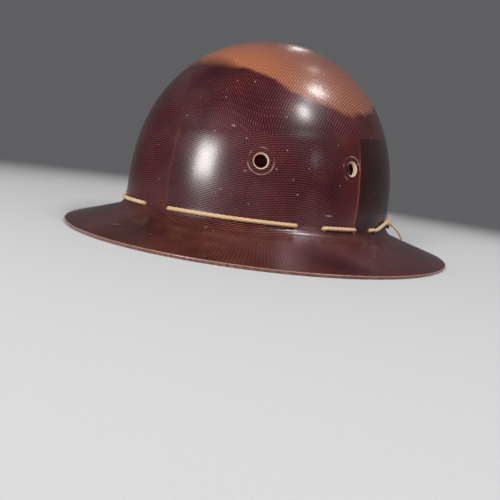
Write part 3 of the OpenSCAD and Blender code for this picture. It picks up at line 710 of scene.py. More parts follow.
def build_shell():
    """Extrudes the shell ring by ring from its edge, then walls, bevels and drills it."""
    s = shell()
    stations = shell_stations()
    clear_selection()
    rx, ry, y, z = ring_of(stations[0])
    bpy.ops.mesh.primitive_circle_add(vertices=s.around, radius=1.0, location=(0, 0, 0))
    piece = bpy.context.object
    bpy.ops.object.mode_set(mode="EDIT")
    bpy.ops.mesh.select_all(action="SELECT")
    bpy.ops.transform.resize(value=(rx, ry, 1), center_override=(0, 0, 0))
    bpy.ops.transform.translate(value=(0, y, z))
    before = (rx, ry, y, z)
    for station in stations[1:]:
        rx, ry, y, z = ring_of(station)
        bpy.ops.mesh.extrude_edges_move()
        bpy.ops.transform.resize(value=(rx / before[0], ry / before[1], 1), center_override=(0, before[2], 0))
        bpy.ops.transform.translate(value=(0, y - before[2], z - before[3]))
        before = (rx, ry, y, z)
    bpy.ops.mesh.extrude_edges_move()
    apex_rise = s.crown_base_z + s.crown_h - before[3]
    bpy.ops.transform.translate(value=(0, s.crown_lean - s.crown_forward - before[2], apex_rise))
    bpy.ops.mesh.merge(type="CENTER")
    bpy.ops.mesh.select_all(action="SELECT")
    bpy.ops.mesh.normals_make_consistent(inside=False)
    bpy.ops.object.mode_set(mode="OBJECT")
    if normals_of(piece)[:, 2].sum() < 0:
        piece.data.flip_normals()

    # Steps at the edges of the plies, sunk from the full outline
    co, n = verts_of(piece), normals_of(piece)
    x, y, z = co.T
    forward = y + s.crown_forward
    polar = np.degrees(np.arctan2(forward, np.abs(x)))
    disc = np.hypot(x, y + DISC_FORWARD)
    top = 1 - smooth_step(disc, *DISC_STEP)
    seam = SEAM_Z + SEAM_SLOPE * y
    side = smooth_step(seam - z, -0.002, 0.002) * smooth_step(polar, FRONT_SEAM - 1.5, FRONT_SEAM + 1.5)
    side *= 1 - smooth_step(polar, REAR_SEAM - 1.4, REAR_SEAM + 1.4)
    crown = smooth_step(z, 0.024, 0.030)
    sink = s.ply_step * crown * (1 - np.clip(top + 0.8 * side, 0, 1))
    for sign in (-1, 1):
        away = np.hypot((x - sign * DIMPLE_X) / DIMPLE_W, (y - DIMPLE_Y) / DIMPLE_L)
        sink += DIMPLE_DEPTH * np.exp(-away * away)
    set_verts(piece, co - n * sink[:, None])

    apply_modifier(piece, "SOLIDIFY", thickness=s.wall_t, offset=-1, use_even_offset=True)
    apply_modifier(
        piece, "BEVEL", width=s.edge_bevel, segments=3, limit_method="ANGLE", angle_limit=math.radians(60)
    )
    drill = drill_holes()
    apply_modifier(piece, "BOOLEAN", operation="DIFFERENCE", object=drill, solver="EXACT")
    bpy.data.objects.remove(drill)
    mark_shell(piece)
    return finish_piece(piece, "shell_laminate", laminate_material(), "shell", angle=30)


def lace_hole_axes():
    """Place and outward direction of each lace hole."""
    place = lace().lace_place
    return [(fillet_point(place, a), fillet_normal(place, a)) for a, _ in lace_holes()]


def vent_axes():
    """Place and outward direction of each vent."""
    return [(station_point(crown_station(z), a), crown_normal(z, a)) for a, z in VENTS]


def drill_holes():
    """All the drills as one object: lace holes, vents with their chamfers, and the floor's flat."""
    s = shell()
    made = [add_cylinder(p, d, lace().lace_hole_d / 2, 6 * s.wall_t, 28) for p, d in lace_hole_axes()]
    made += [add_vent_drill(p, d) for p, d in vent_axes()]
    clear_selection()
    deep = 0.05
    bpy.ops.mesh.primitive_cube_add(size=1, location=(0, 0, -deep / 2))
    box = bpy.context.object
    box.scale = (3 * s.brim_rx, 3 * s.brim_ry, deep)
    made.append(box)
    clear_selection()
    for o in made:
        o.select_set(True)
    bpy.context.view_layer.objects.active = made[0]
    bpy.ops.object.transform_apply(location=True, rotation=True, scale=True)
    bpy.ops.object.join()
    return bpy.context.object


def facing(direction):
    return Vector(direction).to_track_quat("Z", "Y").to_euler()


def add_cylinder(p, d, radius, depth, sides):
    clear_selection()
    bpy.ops.mesh.primitive_cylinder_add(
        vertices=sides, radius=radius, depth=depth, location=tuple(p), rotation=facing(d)
    )
    return bpy.context.object


def add_vent_drill(p, d):
    """A drill for one vent: its bore, then its chamfer extruded from the bore's end."""
    s = shell()
    inner = 3 * s.wall_t
    start = p - d * (inner + s.vent_flare_depth) / 2 - d * s.vent_flare_depth / 2
    drill = add_cylinder(start, d, s.vent_d / 2, inner, 64)
    bpy.ops.object.mode_set(mode="EDIT")
    bpy.ops.mesh.select_all(action="DESELECT")
    bpy.ops.object.mode_set(mode="OBJECT")
    for face in drill.data.polygons:
        face.select = face.normal.z > 0.9
    bpy.ops.object.mode_set(mode="EDIT")
    grow = (2 * s.vent_flare_d - s.vent_d) / s.vent_d
    bpy.ops.mesh.extrude_region_move(TRANSFORM_OT_translate={"value": tuple(d * 2 * s.vent_flare_depth)})
    middle = start + d * (inner / 2 + 2 * s.vent_flare_depth)
    bpy.ops.transform.resize(value=(grow, grow, grow), center_override=tuple(middle))
    bpy.ops.object.mode_set(mode="OBJECT")
    return drill


def mark_shell(piece):
    """Writes how far down the meridian each point lies, where the brim is, and the marks on faces."""
    s = shell()
    co = verts_of(piece)
    stations = shell_stations()[::-1]
    rings = np.array([ring_of(st) for st in stations])
    mean = np.hypot(rings[:, 0], rings[:, 1]) / math.sqrt(2)
    run = np.concatenate([[mean[0]], mean[0] + np.cumsum(np.hypot(np.diff(mean), np.diff(rings[:, 3])))])
    top = s.brim_root_z + s.fillet_len
    x, y, z = co.T
    past = (np.hypot(x / s.crown_rx, (y + s.crown_forward) / s.crown_ry) - 1) * (s.crown_rx + s.crown_ry) / 2
    on_crown = np.interp(-z, -rings[:, 3], run)
    at_top = np.interp(-top, -rings[:, 3], run)
    on_brim = at_top + s.fillet_len * 0.8 + np.maximum(past, 0)
    mix = smooth_step(z, s.brim_root_z, top)
    fall = on_crown * mix + on_brim * (1 - mix)
    write_attribute(piece, "fall", fall)
    write_attribute(piece, "brim", 1 - smooth_step(z, s.brim_root_z + 0.0005, s.brim_root_z + 0.006))
    mark_cuts(piece)


def mark_cuts(piece):
    """Writes, face by face, how pale the brim's sanded edge is, with its side faces kept darker as painted
    shadow, and where the holes' cut walls are.
    """
    s = shell()
    centre, normal = faces_of(piece)
    x, y, z = centre.T
    angle = np.arctan2(y / s.brim_ry, x / s.brim_rx)
    outline = np.hypot(s.brim_rx * np.cos(angle), s.brim_ry * np.sin(angle))
    at_edge = np.hypot(x, y) - outline > -1.05 * s.edge_bevel
    # Upward faces of the edge take the full pale colour and side faces less: the dark line under the pale
    # bevel is painted shadow
    rim = at_edge * np.where(normal[:, 2] > 0.3, 1.0, np.where(normal[:, 2] > -0.3, 0.30, 0.45))
    ground = (normal[:, 2] < -0.98) & (z < 0.00005)
    write_attribute(piece, "rim", np.where(ground, 0.45, rim), "FACE")
    drills = [(p, d, lace().lace_hole_d / 2) for p, d in lace_hole_axes()]
    drills += [(p, d, s.vent_flare_d / 2) for p, d in vent_axes()]
    raw = np.any([hole_wall(centre, normal, *drill) for drill in drills], axis=0)
    write_attribute(piece, "raw", raw, "FACE")
    outwards = ((centre - (0, -s.crown_forward, 0.03)) * normal).sum(1) > 0
    write_attribute(piece, "outer", outwards | (z < s.brim_root_z), "FACE")


def hole_wall(centre, normal, p, d, radius):
    """Which faces are cut by a drill of that place, direction and radius."""
    away = centre - p
    depth = away @ d
    off = np.linalg.norm(away - depth[:, None] * d, axis=1)
    return (off < radius) & (np.abs(depth) < 0.006) & (np.abs(normal @ d) < 0.9)


# Lace route, as the part's source has it

STITCH_FRONT, STITCH_SIDE, STITCH_FROM, STITCH_TO = 11.4, 7.3, 18.3, 65.0
KNOT_ANGLE, KNOT_Z, KNOT_ROOM = 34.0, 28 * MM, 7.0
TAIL_UP, TAIL_OUT, TAIL_TURN, TAIL_LIFT = 6 * MM, 14 * MM, 9.0, 2.4 * MM
STITCH_STEP = 6.0


def lace_out():
    return lace().lace_d / 2 + lace().lace_gap


def lace_in():
    c = cradle()
    return shell().wall_t + c.loop_r + c.strap_t + c.loop_room


def lace_point(a, out):
    place = lace().lace_place
    return fillet_point(place, a) + out * fillet_normal(place, a)


def stitch_lean(a, span):
    start, end = lace_point(a - span, -lace_in()), lace_point(a + span, -lace_in())
    middle = (start + end) / 2 + np.array([0, shell().crown_forward, 0])
    chord = end - start
    turn = math.atan2(middle[1], middle[0]) - math.atan2(-chord[0], chord[1])
    return np.linalg.norm(chord) / 2 * math.tan(turn)


def loop_leans():
    side = stitch_lean((STITCH_SIDE + STITCH_FROM) / 2, (STITCH_FROM - STITCH_SIDE) / 2)
    end = stitch_lean((STITCH_TO + 90 - STITCH_FRONT) / 2, (90 - STITCH_FRONT - STITCH_TO) / 2)
    return side, end


def lace_holes():
    """Angle and lean of the 16 holes, in order from the stitch that carries the knot."""
    side, end = loop_leans()
    q = [(STITCH_SIDE, -side), (STITCH_FROM, side), (STITCH_TO, -end), (90 - STITCH_FRONT, end)]
    holes = [q[2], q[3]]
    holes += [(180 - a, lean) for a, lean in reversed(q)]
    holes += [(180 + a, lean) for a, lean in q]
    holes += [(360 - a, lean) for a, lean in reversed(q)]
    return holes + [(360 + a, lean) for a, lean in q[:2]]


def hole_turn(a, out, way):
    bend = lace().lace_bend
    rise = bend * (1 - math.cos(math.radians(45)))
    p, n = lace_point(a, 0), fillet_normal(lace().lace_place, a)
    sign = math.copysign(1, out)
    return [p + out * n + bend * way, p + (out - sign * rise) * n + rise * way, p + (out - sign * bend) * n]


def hole_way(i, holes):
    angle, lean = holes[i]
    other, other_lean = holes[i + 1 if i % 2 == 0 else i - 1]
    depth = lace_in() + lean
    inward = unit(lace_point(other, -lace_in() - other_lean) - lace_point(angle, -depth))
    outward = fillet_along(lace().lace_place, angle)
    if i % 2 == 0:
        return hole_turn(angle, lace_out(), -outward) + hole_turn(angle, -depth, inward)[::-1]
    return hole_turn(angle, -depth, inward) + hole_turn(angle, lace_out(), outward)[::-1]


def outside_run(start, end):
    n = math.ceil((end - start) / STITCH_STEP)
    return [lace_point(start + (end - start) * i / n, lace_out()) for i in range(1, n)]


def knot_place():
    point = station_point(crown_station(KNOT_Z), KNOT_ANGLE)
    point = point + (lace().knot_r + lace().lace_gap) * crown_normal(KNOT_Z, KNOT_ANGLE)
    return point, fillet_along(0, KNOT_ANGLE)


def lace_route():
    holes = lace_holes()
    knot, way = knot_place()
    seat = lace().knot_l / 2 + 0.1 * MM
    route = [knot + way * (seat - 2 * MM), knot + way * seat, knot + way * (seat + 1 * MM)]
    route += outside_run(KNOT_ANGLE + KNOT_ROOM, STITCH_TO)
    for i in range(16):
        route += hole_way(i, holes)
        if i % 2 == 1 and i < 15:
            route += outside_run(holes[i][0], holes[i + 1][0])
    route += outside_run(360 + STITCH_FROM, 360 + KNOT_ANGLE - KNOT_ROOM)
    route += [knot - way * (seat + 1 * MM), knot - way * seat, knot - way * (seat - 2 * MM)]
    return np.array(route)


def even_path(points, step):
    """A smooth path through points with one point for each step of its length."""
    points = np.asarray(points, float)
    ends = np.vstack([2 * points[0] - points[1], points, 2 * points[-1] - points[-2]])
    fine = []
    for a, b, c, d in zip(ends, ends[1:], ends[2:], ends[3:]):
        for t in np.linspace(0, 1, 9)[:-1]:
            bend, twist = 2 * a - 5 * b + 4 * c - d, 3 * b - a - 3 * c + d
            fine.append(0.5 * (2 * b + (c - a) * t + bend * t**2 + twist * t**3))
    fine.append(points[-1])
    fine = np.array(fine)
    run = run_along(fine)
    at = np.linspace(0, run[-1], max(2, round(run[-1] / step)) + 1)
    return resample(fine, run, at), at


def carried_frames(path):
    """Two directions across a path, carried along it without turning about it."""
    way = np.gradient(path, axis=0)
    way /= np.linalg.norm(way, axis=1)[:, None]
    side = np.cross(way[0], [0, 0, 1.0])
    sides = []
    for w in way:
        side = unit(side - w * (side @ w))
        sides.append(side)
    sides = np.array(sides)
    return sides, np.cross(way, sides)


def strands_piece(paths, radius, name, resolution=1):
    """One mesh of round strands along several paths."""
    clear_selection()
    data = bpy.data.curves.new(name, "CURVE")
    data.dimensions = "3D"
    data.bevel_depth = radius
    data.bevel_resolution = resolution
    data.use_fill_caps = True
    for path in paths:
        spline = data.splines.new("POLY")
        spline.points.add(len(path) - 1)
        spline.points.foreach_set("co", np.hstack([path, np.ones((len(path), 1))]).ravel())
    new_piece(name, data)
    bpy.ops.object.convert(target="MESH")
    return bpy.context.object


def braid_paths(route, step, thickness, pitch, strands):
    """Strand paths of a round braid: half turn each way and pass over and under."""
    path, run = even_path(route, step)
    side, lift = carried_frames(path)
    made = []
    half = strands // 2
    strand_r = thickness * 0.155
    for k in range(strands):
        way = 1 if k < half else -1
        angle = 2 * math.pi * (way * run / pitch + (k % half) / half)
        wave = np.sin(2 * math.pi * run / pitch * half + (0 if way > 0 else math.pi))
        radius = thickness / 2 - strand_r * 1.55 + wave * strand_r * 0.5
        made.append(path + radius[:, None] * (np.cos(angle)[:, None] * side + np.sin(angle)[:, None] * lift))
    return made, strand_r


def yarn_material(name, light, worn):
    n = Nodes(name)
    soiled = n.step(n.noise(70, 4), 0.45, 0.75)
    fibre = n.noise(2600, 2)
    colour = n.mix(soiled, light, tuple(0.75 * a + 0.25 * b for a, b in zip(light, worn)))
    colour = n.mix(n.times(n.step(fibre, 0.5, 0.8), 0.35), colour, worn)
    n.sets(Base_Color=colour, Roughness=0.75, Sheen_Weight=0.2, Sheen_Roughness=0.4)
    n.bump(fibre, 0.00008)
    return n.material


def build_lace():
    t = lace()
    paths, radius = braid_paths(lace_route(), 0.00065, t.lace_d, t.braid_pitch, t.strands)
    piece = strands_piece(paths, radius, "lace_braid")
    material = yarn_material("lace_yarn", t.light, t.worn)
    return finish_piece(piece, "lace_braid", material, "lace", angle=80)


def build_knot():
    """Two crossed turns of the cord's strands round the lace, with both tails."""
    t = lace()
    knot, way = knot_place()
    out = crown_normal(KNOT_Z, KNOT_ANGLE)
    up = np.cross(way, out)
    turns, steps = 2.6, 60
    wraps = []
    for sign in (-1, 1):
        a = np.linspace(0, 2 * math.pi * turns, steps) * sign + (0.6 if sign > 0 else 2.4)
        along = np.linspace(-1, 1, steps) * (t.knot_l / 2 - 0.0011)
        radius = t.knot_r - t.tail_d / 2 - (0.0001 if sign > 0 else 0.0)
        turn = np.cos(a)[:, None] * out + np.sin(a)[:, None] * up
        wraps.append(knot + along[:, None] * way + radius * turn)
    end = station_point(brim_station(TAIL_OUT / brim_reach()), KNOT_ANGLE + TAIL_TURN)
    end = end + np.array([0, 0, TAIL_LIFT])
    bow = np.array([0.6, 0.6, 1.2]) * MM
    long_tail = [knot, knot + (end - knot) / 3 + bow, knot + (end - knot) * 2 / 3 + bow, end]
    short_tail = [knot, knot + np.array([0.15, 0.05, 0.4]) * TAIL_UP, knot + np.array([0.2, 0, 1]) * TAIL_UP]
    paths = []
    for line in (wraps[0], wraps[1], long_tail, short_tail):
        twisted, radius = twist_paths(line, 0.0003, t.tail_d, 0.0034, 3)
        paths += twisted
    piece = strands_piece(paths, radius, "lace_knot_cord")
    material = yarn_material("knot_yarn", toned(t.light, 0.9), t.worn)
    return finish_piece(piece, "lace_knot_cord", material, "lace_knot", angle=80)


def twist_paths(route, step, thickness, pitch, strands):
    """Strand paths of a twisted cord."""
    path, run = even_path(route, step)
    side, lift = carried_frames(path)
    strand_r = thickness * 0.235
    made = []
    for k in range(strands):
        angle = 2 * math.pi * (run / pitch + k / strands)
        radius = thickness / 2 - strand_r
        made.append(path + radius * (np.cos(angle)[:, None] * side + np.sin(angle)[:, None] * lift))
    return made, strand_r


# Cradle. Each strap lies in one upright plane through the crown's axis.


def cradle():
    return bpy.context.scene.helmet_cradle


def band():
    return bpy.context.scene.helmet_band


def band_arcs():
    """End centre, side radius and side centre of the headband's oval, and the angle where its arcs meet."""
    b = band()
    end_c = b.half_l - b.end_r
    side_r = (b.half_w**2 + end_c**2 - b.end_r**2) / (2 * (b.half_w - b.end_r))
    side_c = side_r - b.half_w
    return end_c, side_r, side_c, math.atan2(end_c, side_c)


def strap_plan(index):
    """Angle, half span and lean of the inside stitch at a strap's first end."""
    side, end = loop_leans()
    if index < 2:
        plan = (STITCH_SIDE + STITCH_FROM) / 2, (STITCH_FROM - STITCH_SIDE) / 2, side
    else:
        plan = (STITCH_TO + 90 - STITCH_FRONT) / 2, (90 - STITCH_FRONT - STITCH_TO) / 2, end
    return plan if index % 2 == 0 else (180 - plan[0], plan[1], -plan[2])


def loop_place(index, arm):
    """Middle of the inside stitch that a strap's end loops round, from the crown's axis."""
    a, span, lean = strap_plan(index)
    a += 180 * arm
    ends = lace_point(a - span, lean - lace_in()) + lace_point(a + span, -lean - lace_in())
    return ends / 2 + np.array([0, shell().crown_forward, 0])


def strap_polar(index):
    p = loop_place(index, 0)
    return math.atan2(p[1], p[0])


def arm_rho(index):
    """Distance from the crown's axis to the middle of an arm on the headband."""
    end_c, side_r, side_c, turn = band_arcs()
    polar, half = strap_polar(index), cradle().strap_w / 2
    c, s = abs(math.cos(polar)), abs(math.sin(polar))
    meet = math.atan2(side_r * math.sin(turn), side_r * math.cos(turn) - side_c)
    if math.atan2(s, c) > meet:
        reach = end_c * s + math.sqrt(band().end_r ** 2 - max(0, end_c * c - half) ** 2)
    else:
        reach = math.sqrt(side_r**2 - max(0, side_c * s - half) ** 2) - side_c * c
    return reach + cradle().soft_gap + cradle().strap_t / 2


def offset_line(line, off):
    """A plane line moved to its left by off."""
    line = np.asarray(line, float)
    ways = np.vstack([line[1] - line[0], line[2:] - line[:-2], line[-1] - line[-2]])
    ways /= np.linalg.norm(ways, axis=1)[:, None]
    return line + off * np.stack([-ways[:, 1], ways[:, 0]], 1)


def arm_foot(index, arm):
    """An arm's line from its sewn end down to its loop, with the loop's centre and radius."""
    c, b = cradle(), band()
    polar = strap_polar(index) + math.pi * arm
    p = loop_place(index, arm)
    centre = np.array([p[0] * math.cos(polar) + p[1] * math.sin(polar), p[2]])
    loop_mid = c.loop_r + c.strap_t / 2
    inner, rho = centre[0] - loop_mid, arm_rho(index)
    rivet_z = b.band_z + b.rivet_up
    seat_z = rivet_z - b.head_d / 2 - c.strap_t / 3
    foot = [(rho, rivet_z + c.fold_up), (rho, seat_z), (inner, centre[1] + loop_mid), (inner, centre[1])]
    return np.array(foot), centre, loop_mid


def arm_line(index, arm):
    """Middle line of one arm, from its sewn end round the loop and up to the crown."""
    c, b = cradle(), band()
    foot, centre, loop_mid = arm_foot(index, arm)
    rho, foot_z = foot[0][0], b.band_z + b.band_h
    top = c.cradle_z + index * 1.5 * c.strap_t
    fold_off = c.strap_t * 1.125
    start = math.acos(fold_off / loop_mid - 1)
    turn = np.linspace(start, -math.pi, 17)
    rise = np.linspace(math.pi / 2, 0, 41)[1:-1]
    power = 2 / c.fullness
    return np.vstack([
        offset_line(foot, fold_off)[:3],
        centre + loop_mid * np.stack([np.cos(turn), np.sin(turn)], 1),
        [foot[2], foot[1], (rho, foot_z)],
        np.stack([rho * np.sin(rise) ** power, foot_z + (top - foot_z) * np.cos(rise) ** power], 1),
    ])


def in_strap_plane(index, arm, line, across=0.0):
    """Points of a strap's plane, as distance and height, in the object's frame."""
    polar = strap_polar(index) + math.pi * arm
    line = np.atleast_2d(line)
    x = line[:, 0] * math.cos(polar) - across * math.sin(polar)
    y = line[:, 0] * math.sin(polar) + across * math.cos(polar) - shell().crown_forward
    return np.stack([x, y, line[:, 1]], 1)


def ribbon_section(width, thickness, columns=13, crease=0.0):
    """Points (across, out) round a flat strap with rounded edges and an optional crease beside each."""
    u = np.sin(np.linspace(-math.pi / 2, math.pi / 2, columns))
    half = thickness / 2 * np.sqrt(1 - np.abs(u) ** 12)
    half = half * (1 - crease * np.exp(-(((np.abs(u) - 0.8) / 0.05) ** 2)))
    upper = np.stack([u * width / 2, half], 1)
    return np.vstack([upper, (upper * [1, -1])[-2:0:-1]])


def loft_piece(rings, name, closed=False):
    """One closed skin through rings of equal count, with its two ends capped unless it closes on itself."""
    rings = np.asarray(rings, float)
    m, n = rings.shape[:2]
    faces = []
    for i in range(m if closed else m - 1):
        a, b = i * n, (i + 1) % m * n
        faces += [(a + j, a + (j + 1) % n, b + (j + 1) % n, b + j) for j in range(n)]
    if not closed:
        faces += [tuple(range(n - 1, -1, -1)), tuple(range((m - 1) * n, m * n))]
    mesh = bpy.data.meshes.new(name)
    mesh.from_pydata(rings.reshape(-1, 3).tolist(), [], faces)
    piece = new_piece(name, mesh)
    bpy.ops.object.mode_set(mode="EDIT")
    bpy.ops.mesh.select_all(action="SELECT")
    bpy.ops.mesh.normals_make_consistent(inside=False)
    bpy.ops.object.mode_set(mode="OBJECT")
    return piece


def even_line(line, step, passes=2):
    """A line with even steps and its corners eased, in any number of dimensions."""
    run = run_along(line)
    at = np.linspace(0, run[-1], round(run[-1] / step) + 1)
    fine = resample(line, run, at)
    for _ in range(passes):
        fine[1:-1] = (fine[:-2] + fine[1:-1] + fine[2:]) / 3
    return fine, at


def stitch(point, way, out, length, rise=0.00022):
    """Path of one stitch that dips into the cloth at both ends."""
    p, w, o = (np.asarray(v, float) for v in (point, way, out))
    steps = ((-0.5, -1.2), (-0.34, 0.8), (0, 1.0), (0.34, 0.8), (0.5, -1.2))
    return np.array([p + w * length * a + o * rise * b for a, b in steps])


def sew(paths, radius, name, yarn):
    """One piece of stitches in thread of that radius."""
    finish_piece(strands_piece(paths, radius, name), name, yarn, angle=80)


def build_straps():
    """Four webbing straps with ribbed cloth, folded and sewn ends, and their stitching."""
    c = cradle()
    cloth, yarn = webbing_material(), thread_material("sewing_thread", c.thread)
    section = ribbon_section(c.strap_w, c.strap_t)
    for index in range(4):
        top = np.array([[0, c.cradle_z + index * 1.5 * c.strap_t]])
        line = np.vstack([arm_line(index, 0), top, (arm_line(index, 1) * [-1, 1])[::-1]])
        line, run = even_line(line, 0.0005)
        normal = offset_line(line, 1.0) - line
        rib = 0.00005 * np.where(np.arange(len(line)) % 2, 1, -1)
        rings = []
        for p, n, r in zip(line, normal, rib):
            out = section[:, 1] * (1 + r / (c.strap_t / 2))
            rings.append(in_strap_plane(index, 0, p + np.outer(out, n), section[:, 0]))
        name = f"webbing_{index + 1}"
        piece = loft_piece(rings, name)
        write_attribute(piece, "along", np.repeat(run, len(section)))
        write_attribute(piece, "across", np.tile(section[:, 0], len(run)))
        finish_piece(piece, name, cloth, f"crown_strap_{index + 1}", angle=70)
        stitches = []
        for arm in (0, 1):
            stitches += fold_stitches(index, arm)
        sew(stitches, 0.00026, f"webbing_{index + 1}_stitches", yarn)


def fold_stitches(index, arm):
    """Stitches that sew a strap's folded end down: a row across its top and one along each edge."""
    c = cradle()
    foot = arm_foot(index, arm)[0]
    face = offset_line(foot, c.strap_t * 1.625)[:3]
    polar = strap_polar(index) + math.pi * arm
    across = np.array([-math.sin(polar), math.cos(polar), 0])
    made = []
    edge, pitch = c.strap_w / 2 - 0.0018, 0.0024
    for a, b, share in ((face[0], face[1], 1.0), (face[1], face[2], 0.55)):
        length = np.linalg.norm(b - a) * share
        way = (b - a) / np.linalg.norm(b - a)
        out = np.array([-way[1], way[0]])
        way3 = in_strap_plane(index, arm, way)[0] - in_strap_plane(index, arm, (0, 0))[0]
        out3 = in_strap_plane(index, arm, out)[0] - in_strap_plane(index, arm, (0, 0))[0]
        for k in range(1, int(length / pitch) + 1):
            for side in (-1, 1):
                p = in_strap_plane(index, arm, a + way * (k - 0.3) * pitch, side * edge)[0]
                made.append(stitch(p, way3, out3, pitch * 0.8))
        if share == 1.0:
            count = int(2 * edge / pitch)
            for k in range(count):
                p = in_strap_plane(index, arm, a + way * 0.0012, (k + 0.5 - count / 2) * pitch)[0]
                made.append(stitch(p, across, out3, pitch * 0.8))
    return made


# Radii of the pad's rings and of its round seam, as shares of the pad's radius
PAD_RINGS = (0.01, 0.08, 0.16, 0.24, 0.31, 0.36, 0.39, 0.42, 0.45, 0.48)
PAD_RINGS += (0.53, 0.6, 0.68, 0.76, 0.84, 0.9, 0.95, 0.98, 1.0)
PAD_SEAM = 0.42


def pad_height(r):
    """Height of the crown pad's middle surface at a radius."""
    c, b = cradle(), band()
    foot_z, power = b.band_z + b.band_h, c.fullness
    dome = (c.cradle_z - foot_z) * (1 - (r / arm_rho(0)) ** power) ** (1 / power)
    return foot_z + dome - c.strap_t / 2 - c.soft_gap - c.pad_t / 2


def pad_half(r, a):
    """Half thickness of the quilted crown pad at a radius and an angle."""
    c = cradle()
    u = r / (c.pad_d / 2)
    half = c.pad_t / 2 * math.sqrt(max(0.0, 1 - u**5)) * 0.92
    to_seam = abs(math.sin(a * 4)) * r / 4
    outside = 1 / (1 + math.exp((PAD_SEAM - u) / 0.01))
    dip = math.exp(-((to_seam / 0.0009) ** 2)) * outside
    dip = max(dip, math.exp(-(((u - PAD_SEAM) * c.pad_d / 2 / 0.0009) ** 2)))
    return half * (1 - 0.42 * dip)


def build_pad():
    """The quilted crown pad with its piping and stitching."""
    c = cradle()
    radius, around = c.pad_d / 2 - 0.0005, 240
    turn = np.linspace(0, 2 * math.pi, around, endpoint=False)
    middle_y = -shell().crown_forward
    rings = []
    for side, order in ((1, PAD_RINGS), (-1, PAD_RINGS[-2::-1])):
        for u in order:
            r = u * radius
            z = [pad_height(r) + side * pad_half(r, a) for a in turn]
            rings.append(np.stack([r * np.cos(turn), r * np.sin(turn) + middle_y, z], 1))
    leather = leather_material("pad_leather", c.pad, 1100)
    piece = loft_piece(rings, "quilted_pad")
    finish_piece(piece, "quilted_pad", leather, "crown_pad", angle=70)
    rings = []
    small = np.linspace(0, 2 * math.pi, 10, endpoint=False)
    for a in turn:
        out, tube = heading(a), 0.0009
        middle = out * (radius - tube) + [0, middle_y, pad_height(radius - tube)]
        rings.append(middle + tube * (np.outer(np.cos(small), out) + np.outer(np.sin(small), [0, 0, 1])))
    piece = loft_piece(rings, "pad_piping", closed=True)
    piping = leather_material("piping_leather", toned(c.pad, 0.7), 1400)
    finish_piece(piece, "pad_piping", piping)
    made = []
    for k in range(8):
        a = k * math.pi / 4
        out = heading(a)
        for r in np.arange(0.45 * radius, 0.93 * radius, 0.0026):
            slope = (pad_height(r + 0.001) - pad_height(r - 0.001)) / 0.002
            p = out * r + [0, middle_y, pad_height(r) - pad_half(r, a)]
            made.append(stitch(p, unit(out + [0, 0, slope]), (0, 0, -1), 0.002))
    for a in np.arange(0, 2 * math.pi, 2 * math.pi / 34):
        r, out = PAD_SEAM * radius, heading(a)
        p = out * r + [0, middle_y, pad_height(r) - pad_half(r, a)]
        made.append(stitch(p, (-out[1], out[0], 0), (0, 0, -1), 0.002))
    sew(made, 0.00024, "pad_stitches", thread_material("pad_thread", c.thread))


# Headband


def oval_line(step=0.0016):
    """Points and outward directions along the headband's outer face, from end to end of the band."""
    b = band()
    end_c, side_r, side_c, turn = band_arcs()
    gap, quarter = math.radians(b.gap_angle), math.pi / 2
    arcs = (
        ((0, end_c), b.end_r, quarter - gap, turn),
        ((-side_c, 0), side_r, turn, -turn),
        ((0, -end_c), b.end_r, -turn, turn - math.pi),
        ((side_c, 0), side_r, math.pi + turn, math.pi - turn),
        ((0, end_c), b.end_r, math.pi - turn, quarter + gap),
    )
    points, outs = [], []
    for (x, y), r, start, end in arcs:
        count = max(2, round(abs(end - start) * r / step))
        for a in np.linspace(start, end, count + 1)[1 if points else 0 :]:
            out = heading(a)
            points.append(np.array([x, y - shell().crown_forward, 0]) + r * out)
            outs.append(out)
    return np.array(points), np.array(outs)


def lining_section():
    """Middle line (out, height) and half thickness of the sweatband, from its top edge to its lip's edge."""
    b, c = band(), cradle()
    lean = b.head_d / 2 * math.tan(math.radians(11))
    wall = -b.band_t - b.head_t - 2 * lean - c.soft_gap - b.leather_t / 2
    low = b.band_z - c.soft_gap - b.leather_t / 2
    top = low + b.leather_t / 2 + b.band_h + c.soft_gap - 0.0006
    corner = 0.0022
    z = np.linspace(top, low + corner, 15)
    swell = -0.0003 * np.sin(np.pi * (z - low) / (top - low))
    bend = np.radians(np.linspace(0, 90, 7)[1:])
    line = np.vstack([
        np.stack([wall + swell, z], 1),
        np.stack([wall + corner * (1 - np.cos(bend)), low + corner * (1 - np.sin(bend))], 1),
        [(out, low) for out in np.linspace(wall + corner, -0.0009, 5)[1:]],
    ])
    run = run_along(line)
    away = np.minimum(run, run[-1] - run)
    return line, b.leather_t / 2 * np.clip(0.45 + away / 0.0012, 0, 1) ** 0.5


def build_lining():
    """The leather sweatband: a soft wall inside the headband, a lip under it, and two rows of stitches."""
    b = band()
    points, outs = oval_line()
    line, half = lining_section()
    inner, outer = offset_line(line, -1.0) - line, offset_line(line, 1.0) - line
    section = np.vstack([line + inner * half[:, None], (line + outer * half[:, None])[::-1]])
    run = run_along(points)
    ripple = 0.00012 * (np.sin(run * 190) + 0.6 * np.sin(run * 83 + 1.3))
    weight = np.clip((section[:, 1] - 0.008) / 0.012, 0, 1)
    rings = []
    for p, out, shift in zip(points, outs, ripple):
        rings.append(p + np.outer(section[:, 0] + shift * weight, out) + np.outer(section[:, 1], [0, 0, 1]))
    piece = loft_piece(rings, "leather_lining")
    leather = leather_material("lining_leather", b.leather, 1300, pores=True)
    finish_piece(piece, "leather_lining", leather, "sweatband", angle=60)
    pitch = 0.0033
    made = []
    for row, out_way in ((3, (-1, 0)), (len(line) - 3, (0, -1))):
        place = line[row] + np.array(out_way) * half[row]
        for s in np.arange(0.004, run[-1] - 0.003, pitch):
            p, out = (np.array([np.interp(s, run, v[:, k]) for k in range(3)]) for v in (points, outs))
            shift = np.interp(s, run, ripple) if row == 3 else 0
            way, outward = np.array([-out[1], out[0], 0]), out_way[0] * out + [0, 0, out_way[1]]
            made.append(stitch(p + (place[0] + shift) * out + [0, 0, place[1]], way, outward, 0.0024))
    sew(made, 0.00024, "lining_stitches", thread_material("lining_thread", cradle().thread))


